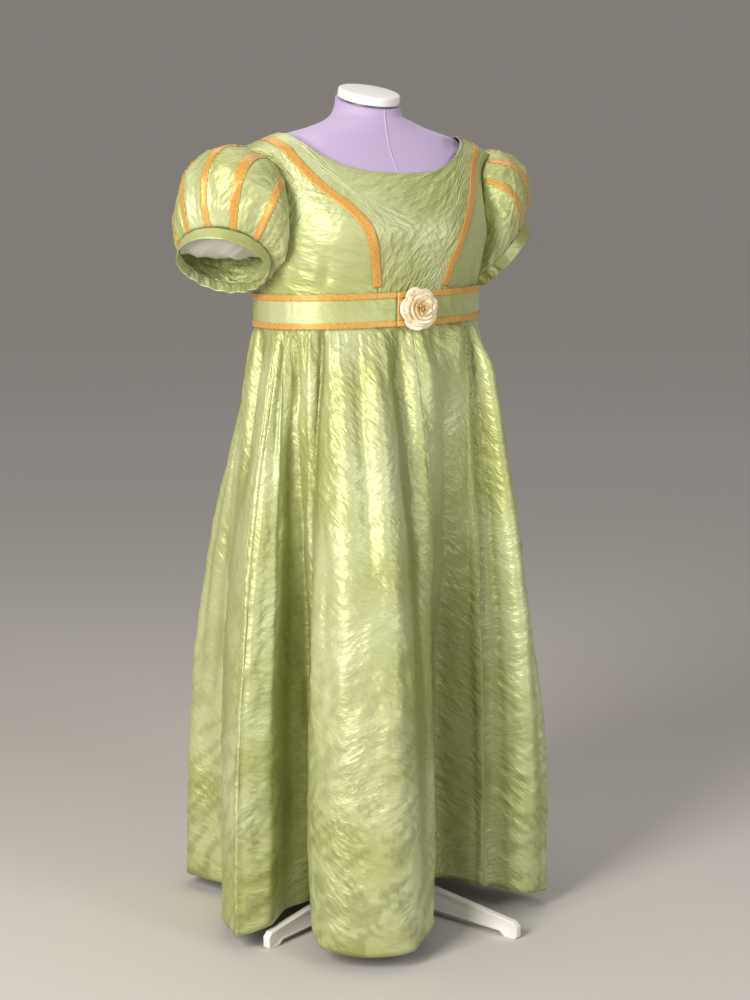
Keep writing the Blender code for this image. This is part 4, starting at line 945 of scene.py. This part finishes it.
def makeSleeve(row):
    form = Sleeve(row)
    letter = row["letter"]
    u, v = gridOf(216, 64)
    points = form.placed(u, v, 0.0)
    points[:, -1] = points[:, 0]
    sleevePiece = sheetMesh("sleeve" + letter, points, metresOf(points), form.core, clothWall, taffeta, wrapped=True)
    settle(sleevePiece, "green_taffeta", "sleeve_" + letter)
    area = areaOf(points)

    u, v = gridOf(288, 10)
    turn = tau * u
    elastic = soft((-np.sin(turn) - 0.15) / 0.35)
    wave = 0.0024 * elastic * np.sin(18 * turn) * np.sin(math.pi * (0.25 + 0.5 * v))
    wave = wave + 0.0013 * elastic * np.sin(43 * turn + 3 * lattice(turn * 4, v * 2, 121)) * np.sin(math.pi * v)
    wave = wave + 0.0005 * (1 - elastic) * lattice(turn * 7, v * 2, 122)
    radius = row["radius"] - 0.004 * elastic * v + wave
    points = form.ring(turn, radius, 0.0008 + sleeveGrid["cuffWidth"] * v) * form.flip
    points[:, -1] = points[:, 0]
    cuffPiece = sheetMesh("cuff" + letter, points, metresOf(points), form.cuffCore, 0.0012, pressedTaffeta,
                          wrapped=True)
    settle(cuffPiece, "green_taffeta", "cuff_" + letter)
    cuffArea = areaOf(points)

    u, v = gridOf(90, 48)
    turn = math.pi * (0.04 + 0.92 * u)
    top = form.ring(turn, row["radius"] - sleeveGrid["wall"] - 0.0005, 0.004)
    middle = form.centre - form.axis * 0.026 - form.up * 0.030
    bottom = middle + form.front * (0.052 * np.cos(turn))[..., None] - form.up * (0.010 * np.sin(turn))[..., None]
    bottom = bottom + form.up * (0.0035 * np.sin(9 * turn))[..., None]
    sag = 0.020 * np.sin(math.pi * v) * np.sin(turn)
    folds = 0.0022 * np.sin(5 * math.pi * u + 4 * v) + 0.0030 * lattice(u * 7 + 2 * v, v * 3, 131)
    folds = folds + 0.0022 * (crinkle(u * 0.18, v * 0.09, 58, 0.020, 0.05, 137) - 0.4)
    folds = folds * np.sin(math.pi * v) ** 0.8
    points = top * (1 - v)[..., None] + bottom * v[..., None] + form.axis * (sag + folds)[..., None]
    points = points * form.flip
    inward = lambda face: tuple((form.centre - form.axis * 0.2) * form.flip)
    liningPiece = sheetMesh("sleeveLining" + letter, points, metresOf(points), inward, 0.0005, liningCloth)
    settle(liningPiece, "white_lining", "sleeve_lining_" + letter)

    liningArea, ribbons = areaOf(points), []
    for number, column in enumerate(sleeveGrid["ribbons"], 1):
        u, v = gridOf(8, 70)
        inset = 0.15 / sleeveGrid["rows"]
        fall = inset + (1 - inset) * v
        ruffle = 0.07 * lattice(v * 22, 0 * v + number, 141 + number)
        across = (column + 0.5 + (u - 0.5) * 0.70 * (1 + ruffle)) / sleeveGrid["columns"]
        edge = np.abs(u - 0.5) * 2
        frill = 0.0006 * edge**2 * np.sin(tau * v * 17 + 2 * lattice(v * 9, u * 0, 150 + number))
        points = form.placed(across, fall, 0.0010 + frill)
        piece = sheetMesh("sleeveRibbon%s%d" % (letter, number), points, metresOf(points), form.core, ribbonWall, satin)
        settle(piece, "gold_ribbon", "sleeve_ribbon_%s%d" % (letter, number))
        ribbons.append(piece)
    print("sleeve", letter, "area", round(area, 4), "cuff", round(cuffArea, 4), "lining", round(liningArea, 4))
    return sleevePiece, cuffPiece, liningPiece, ribbons


sleevesMade = [makeSleeve(row) for row in sleeveRows]

rose = {
    "middle": 0.006, "wall": 0.0004,
    "rings": (  # petals, length, half width, first lift, lift at the rim, curl of the rim
        (6, 0.0375, 0.0215, 0.0010, 0.0060, 0.0040), (5, 0.0315, 0.0200, 0.0030, 0.0100, 0.0040),
        (5, 0.0245, 0.0165, 0.0050, 0.0145, 0.0030), (4, 0.0175, 0.0130, 0.0070, 0.0180, 0.0018),
        (3, 0.0105, 0.0095, 0.0090, 0.0205, 0.0005)),
    "heart": (1.9, 0.0014, 0.0062, 0.0100, 0.0205),  # turns, radii, and the furled strip's foot and top
}


# Rings of round cupped petals, each lapped over the next and rolled back at its rim, round a furled heart.
def makeRose():
    seat = beltPlace(np.full(1, -math.pi / 2 - tau), np.full(1, beltTop - beltHeight / 2), np.full(1, 0.0010))[0]
    rng = np.random.default_rng(8)
    whole = bmesh.new()
    whole.verts.layers.float.new("petalDepth")

    def addSheet(columns, rows, place):
        grid = bmesh.ops.create_grid(whole, x_segments=columns, y_segments=rows, size=0.5)
        depth = whole.verts.layers.float["petalDepth"]
        for vert in grid["verts"]:
            x, z, lift = place(2 * vert.co.x, vert.co.y + 0.5)
            vert.co = Vector((rose["middle"] + x, seat[1] - max(lift, 0.0005), seat[2] + z))
            vert[depth] = min(math.hypot(x, z) / 0.032, 1.0)

    for ring, (count, length, half, foot, rim, curl) in enumerate(rose["rings"]):
        for k in range(count):
            heading = tau * (k + 0.37 * ring) / count + rng.normal(0, 0.07)
            reach, tip, phase = length * (1 + rng.normal(0, 0.03)), rim * (1 + rng.normal(0, 0.06)), rng.random() * tau

            def petal(across, out):
                width = half * math.sqrt(max(1 - ((out - 0.56) / 0.60) ** 2, 0))
                side = across * width
                ahead = reach * (out - 0.13 * across * across * out)
                lift = foot + (tip - foot) * out**1.5 + 0.0030 * across * out
                lift += 0.0022 * across * across * out * out + 0.0008 * math.sin(3.1 * across + phase) * out * out
                lift += 0.0005 * math.cos(11 * across + phase) * math.sin(math.pi * out)
                lift -= curl * max(out - 0.80, 0) ** 2 / 0.04
                x = ahead * math.cos(heading) - side * math.sin(heading)
                return x, ahead * math.sin(heading) + side * math.cos(heading), lift

            addSheet(16, 12, petal)
    turns, near, far, low, high = rose["heart"]

    def heart(across, out):
        share = (across + 1) / 2
        turn, radius = tau * turns * share, near + (far - near) * share + 0.0012 * out
        return radius * math.cos(turn), radius * math.sin(turn), low + (high - low) * out - 0.003 * share * out

    addSheet(64, 6, heart)
    mesh = bpy.data.meshes.new("roseFlower")
    bmesh.ops.translate(whole, vec=bodyAxis, verts=whole.verts[:])
    bmesh.ops.recalc_face_normals(whole, faces=whole.faces[:])
    whole.to_mesh(mesh)
    whole.free()
    mesh.shade_smooth()
    mesh.materials.append(roseSilk)
    piece = linked("roseFlower", mesh)
    shell = piece.modifiers.new("wall", "SOLIDIFY")
    shell.thickness = rose["wall"]
    shell.offset = 0
    settle(piece, "rose_silk", "flower_outer", "flower_middle", "flower_inner", "flower_bud")
    return piece


roseFlower = makeRose()
print("rosette made")

# Depth before of the chest inside the open neck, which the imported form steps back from.
chestRows = ((1.300, 0.126), (1.330, 0.100), (1.350, 0.085), (1.370, 0.0735), (1.390, 0.0655), (1.407, 0.0610),
             (1.425, 0.0572))
formSize = {"base": 0.780, "neckTop": 1.452, "slope": 0.30, "cap": 0.0545, "capHeight": 0.015}


def makeForm():
    u, v = gridOf(180, 150)
    z = formSize["base"] + (formSize["neckTop"] - formSize["base"]) * (1 - (1 - v) ** 1.3)
    angle = tau * (u + 0.9 * np.sin(tau * u) / tau) + math.pi / 2  # closest together at the centre front
    points = outline(angle, z, formRows)
    inNeck = (points[..., 1] < 0) & (z > 1.300) & (z < 1.425)
    deeper = throughTable(chestRows, z)[0] / throughTable(formRows, z)[1]
    middle = soft((0.165 - np.abs(points[..., 0])) / 0.05)
    points[..., 1] *= np.where(inNeck, 1 + (deeper - 1) * middle, 1)
    points[:, -1] = points[:, 0]
    lean = formSize["slope"] * soft((z - 1.415) / 0.035)
    points[..., 2] += lean * points[..., 1]
    seamRidge = 0.0013 * np.exp(-((points[..., 0] / 0.0011) ** 2)) * (points[..., 1] < 0) * soft((z - 1.0) / 0.1)
    points[..., 1] -= seamRidge
    rows, columns = points.shape[0] - 1, points.shape[1] - 1
    bm = bmesh.new()
    bmesh.ops.create_grid(bm, x_segments=columns, y_segments=rows, size=0.5)
    for vert in bm.verts:
        column, row = round((vert.co.x + 0.5) * columns), round((vert.co.y + 0.5) * rows)
        vert.co = Vector(points[row, column])
    bmesh.ops.remove_doubles(bm, verts=bm.verts[:], dist=1e-6)
    bmesh.ops.holes_fill(bm, edges=bm.edges[:])
    piece = meshPiece("formTorso", bm, jersey)
    settle(piece, "lilac_jersey", "form_torso")
    return piece


def spunPiece(name, profile, steps, material, matrix, slotName, node, angle=40):
    bm = bmesh.new()
    verts = [bm.verts.new((radius, 0, height)) for radius, height in profile]
    edges = [bm.edges.new(pair) for pair in zip(verts, verts[1:])]
    bmesh.ops.spin(bm, geom=verts + edges, cent=(0, 0, 0), axis=(0, 0, 1), angle=tau, steps=steps, use_merge=True)
    bmesh.ops.remove_doubles(bm, verts=bm.verts[:], dist=1e-6)
    bmesh.ops.transform(bm, matrix=matrix, verts=bm.verts[:])
    settle(meshPiece(name, bm, material, angle=angle), slotName, node)


def makeCap():
    lean = Matrix.Rotation(math.atan(formSize["slope"]), 4, "X")
    seat = Matrix.Translation((0, 0, formSize["neckTop"] + 0.0003)) @ lean
    spunPiece("neckCollar", ((0, 0), (0.047, 0), (0.047, 0.004), (0, 0.004)), 72, steel, seat, "grey_steel",
              "neck_gasket")
    radius, height, rim = formSize["cap"], formSize["capHeight"], 0.0035
    edge = [(radius - rim + rim * math.sin(t), height - rim + rim * math.cos(t))
            for t in np.linspace(0, math.pi / 2, 7)]
    profile = [(0, height + 0.0012), (radius * 0.5, height + 0.0009)] + edge + [
        (radius, 0.001), (radius - 0.001, 0), (0, 0)]
    spunPiece("neckCap", profile, 96, plastic, seat @ Matrix.Translation((0, 0, 0.0043)), "white_plastic", "neck_cap")


formTorso = makeForm()
makeCap()

stand = {"shift": (0.022, -0.003), "reach": 0.313, "hub": 0.032, "width": 0.014, "turn": math.radians(20)}


def makeLegs():
    reach, near = stand["reach"], stand["hub"] + 0.0003
    side = ((near, 0.014), (reach - 0.036, 0.008), (reach - 0.026, 0.0), (reach - 0.004, 0.0), (reach, 0.004),
            (reach, 0.022), (reach - 0.008, 0.030), (near, 0.066))
    place = Matrix.Translation((*stand["shift"], 0))
    for number in range(4):
        bm = bmesh.new()
        face = bm.faces.new([bm.verts.new((x, -stand["width"] / 2, z)) for x, z in side])
        grown = bmesh.ops.extrude_face_region(bm, geom=[face])["geom"]
        bmesh.ops.translate(bm, vec=(0, stand["width"], 0),
                            verts=[item for item in grown if isinstance(item, bmesh.types.BMVert)])
        bmesh.ops.recalc_face_normals(bm, faces=bm.faces[:])
        cheeks = [f for f in bm.faces if abs(f.normal.y) > 0.9]
        bmesh.ops.inset_individual(bm, faces=cheeks, thickness=0.0042, depth=0.0)
        bmesh.ops.inset_individual(bm, faces=cheeks, thickness=0.0012, depth=-0.0022)
        bmesh.ops.bevel(bm, geom=[e for e in bm.edges if e.calc_face_angle(0) > 0.5], offset=0.0009, segments=2,
                        affect="EDGES", profile=0.5, material=-1)
        bmesh.ops.transform(bm, matrix=place @ Matrix.Rotation(stand["turn"] + number * math.pi / 2, 4, "Z"),
                            verts=bm.verts[:])
        settle(meshPiece("standLeg%d" % (number + 1), bm, plastic), "white_plastic", "stand_leg_%d" % (number + 1))


makeLegs()
for nodeName, finish in (("pole", steel), ("stand_hub", plastic)):
    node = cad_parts[nodeName]
    node.data.materials.clear()
    node.data.materials.append(finish)
print("form and stand made")


studio = {"floor": "d2cdc7", "far": "ffffff", "wall": "cbc3bb", "key": 156, "fill": 46, "top": 22}


def makeStage():
    bm = bmesh.new()
    bmesh.ops.create_grid(bm, x_segments=1, y_segments=1, size=60)
    mesh = bpy.data.meshes.new("paleFloor")
    bm.to_mesh(mesh)
    bm.free()
    made, tree, shader = startMaterial("paleFloorPaint", Roughness=0.85)
    place = addNode(tree, "TexCoord").outputs["Object"]
    away = addNode(tree, "VectorMath", {0: place}, operation="LENGTH").outputs["Value"]
    # Painted light: the floor is painted paler with distance, standing in for light where the key falls off, so that it
    # meets the backdrop without a line.
    paintedFarLight = addNode(tree, "MapRange", {"Value": away, "From Min": 1.5, "From Max": 7.0}).outputs["Result"]
    tone = addNode(tree, "ValToRGB", {"Fac": paintedFarLight})
    tone.color_ramp.elements[0].color = linearColour(studio["floor"])
    tone.color_ramp.elements[1].color = linearColour(studio["far"])
    tree.links.new(tone.outputs["Color"], shader.inputs["Base Color"])
    mesh.materials.append(made)
    linked("paleFloor", mesh)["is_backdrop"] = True


def areaLight(name, place, target, size, watts, colour):
    light = bpy.data.lights.new(name, "AREA")
    light.shape = "RECTANGLE"
    light.size, light.size_y = size
    light.energy = watts
    light.color = linearColour(colour)[:3]
    lamp = linked(name, light)
    lamp.location = place
    lamp.rotation_euler = (Vector(target) - Vector(place)).to_track_quat("-Z", "Y").to_euler()


makeStage()
areaLight("keySoftbox", (-3.25, -1.5, 2.2), (0, 0, 0.9), (1.3, 2.4), studio["key"], "fffdf8")
areaLight("fillSoftbox", (0.9, -3.6, 1.8), (0, 0, 0.9), (1.2, 2.2), studio["fill"], "f4f6ff")
areaLight("topSoftbox", (0.3, 0.6, 3.4), (0, 0, 0.9), (2.0, 2.0), studio["top"], "ffffff")
world = bpy.data.worlds.new("studioAir")
bpy.context.scene.world = world
world.use_nodes = True
world.node_tree.nodes["Background"].inputs["Color"].default_value = linearColour(studio["wall"])
world.node_tree.nodes["Background"].inputs["Strength"].default_value = 0.37
bpy.context.scene.view_settings.view_transform = "Standard"

view = {"distance": 3.4, "height": 1.267, "turn": math.radians(31), "pitch": math.radians(8.62), "focus": 1916,
        "frameHeight": 1000, "axisPixel": 368, "middlePixel": 375}


def makeCamera():
    camera = bpy.data.cameras.new("portraitCamera")
    camera.sensor_fit = "VERTICAL"
    camera.sensor_height = 36
    camera.lens = view["focus"] * 36 / view["frameHeight"]
    rig = linked("portraitCamera", camera)
    turn = view["turn"]
    stood = Vector((-view["distance"] * math.sin(turn), -view["distance"] * math.cos(turn), view["height"]))
    rig.location = stood + bodyAxis
    yaw = math.atan((view["axisPixel"] - view["middlePixel"]) / view["focus"])
    x, y = -math.sin(yaw), math.cos(yaw)
    level = Vector((x * math.cos(turn) + y * math.sin(turn), -x * math.sin(turn) + y * math.cos(turn), 0))
    aim = level * math.cos(view["pitch"]) - Vector((0, 0, math.sin(view["pitch"])))
    rig.rotation_euler = aim.to_track_quat("-Z", "Y").to_euler()
    bpy.context.scene.camera = rig


makeCamera()
[list(corner) for corner in cadBox]
[list(corner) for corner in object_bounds()]
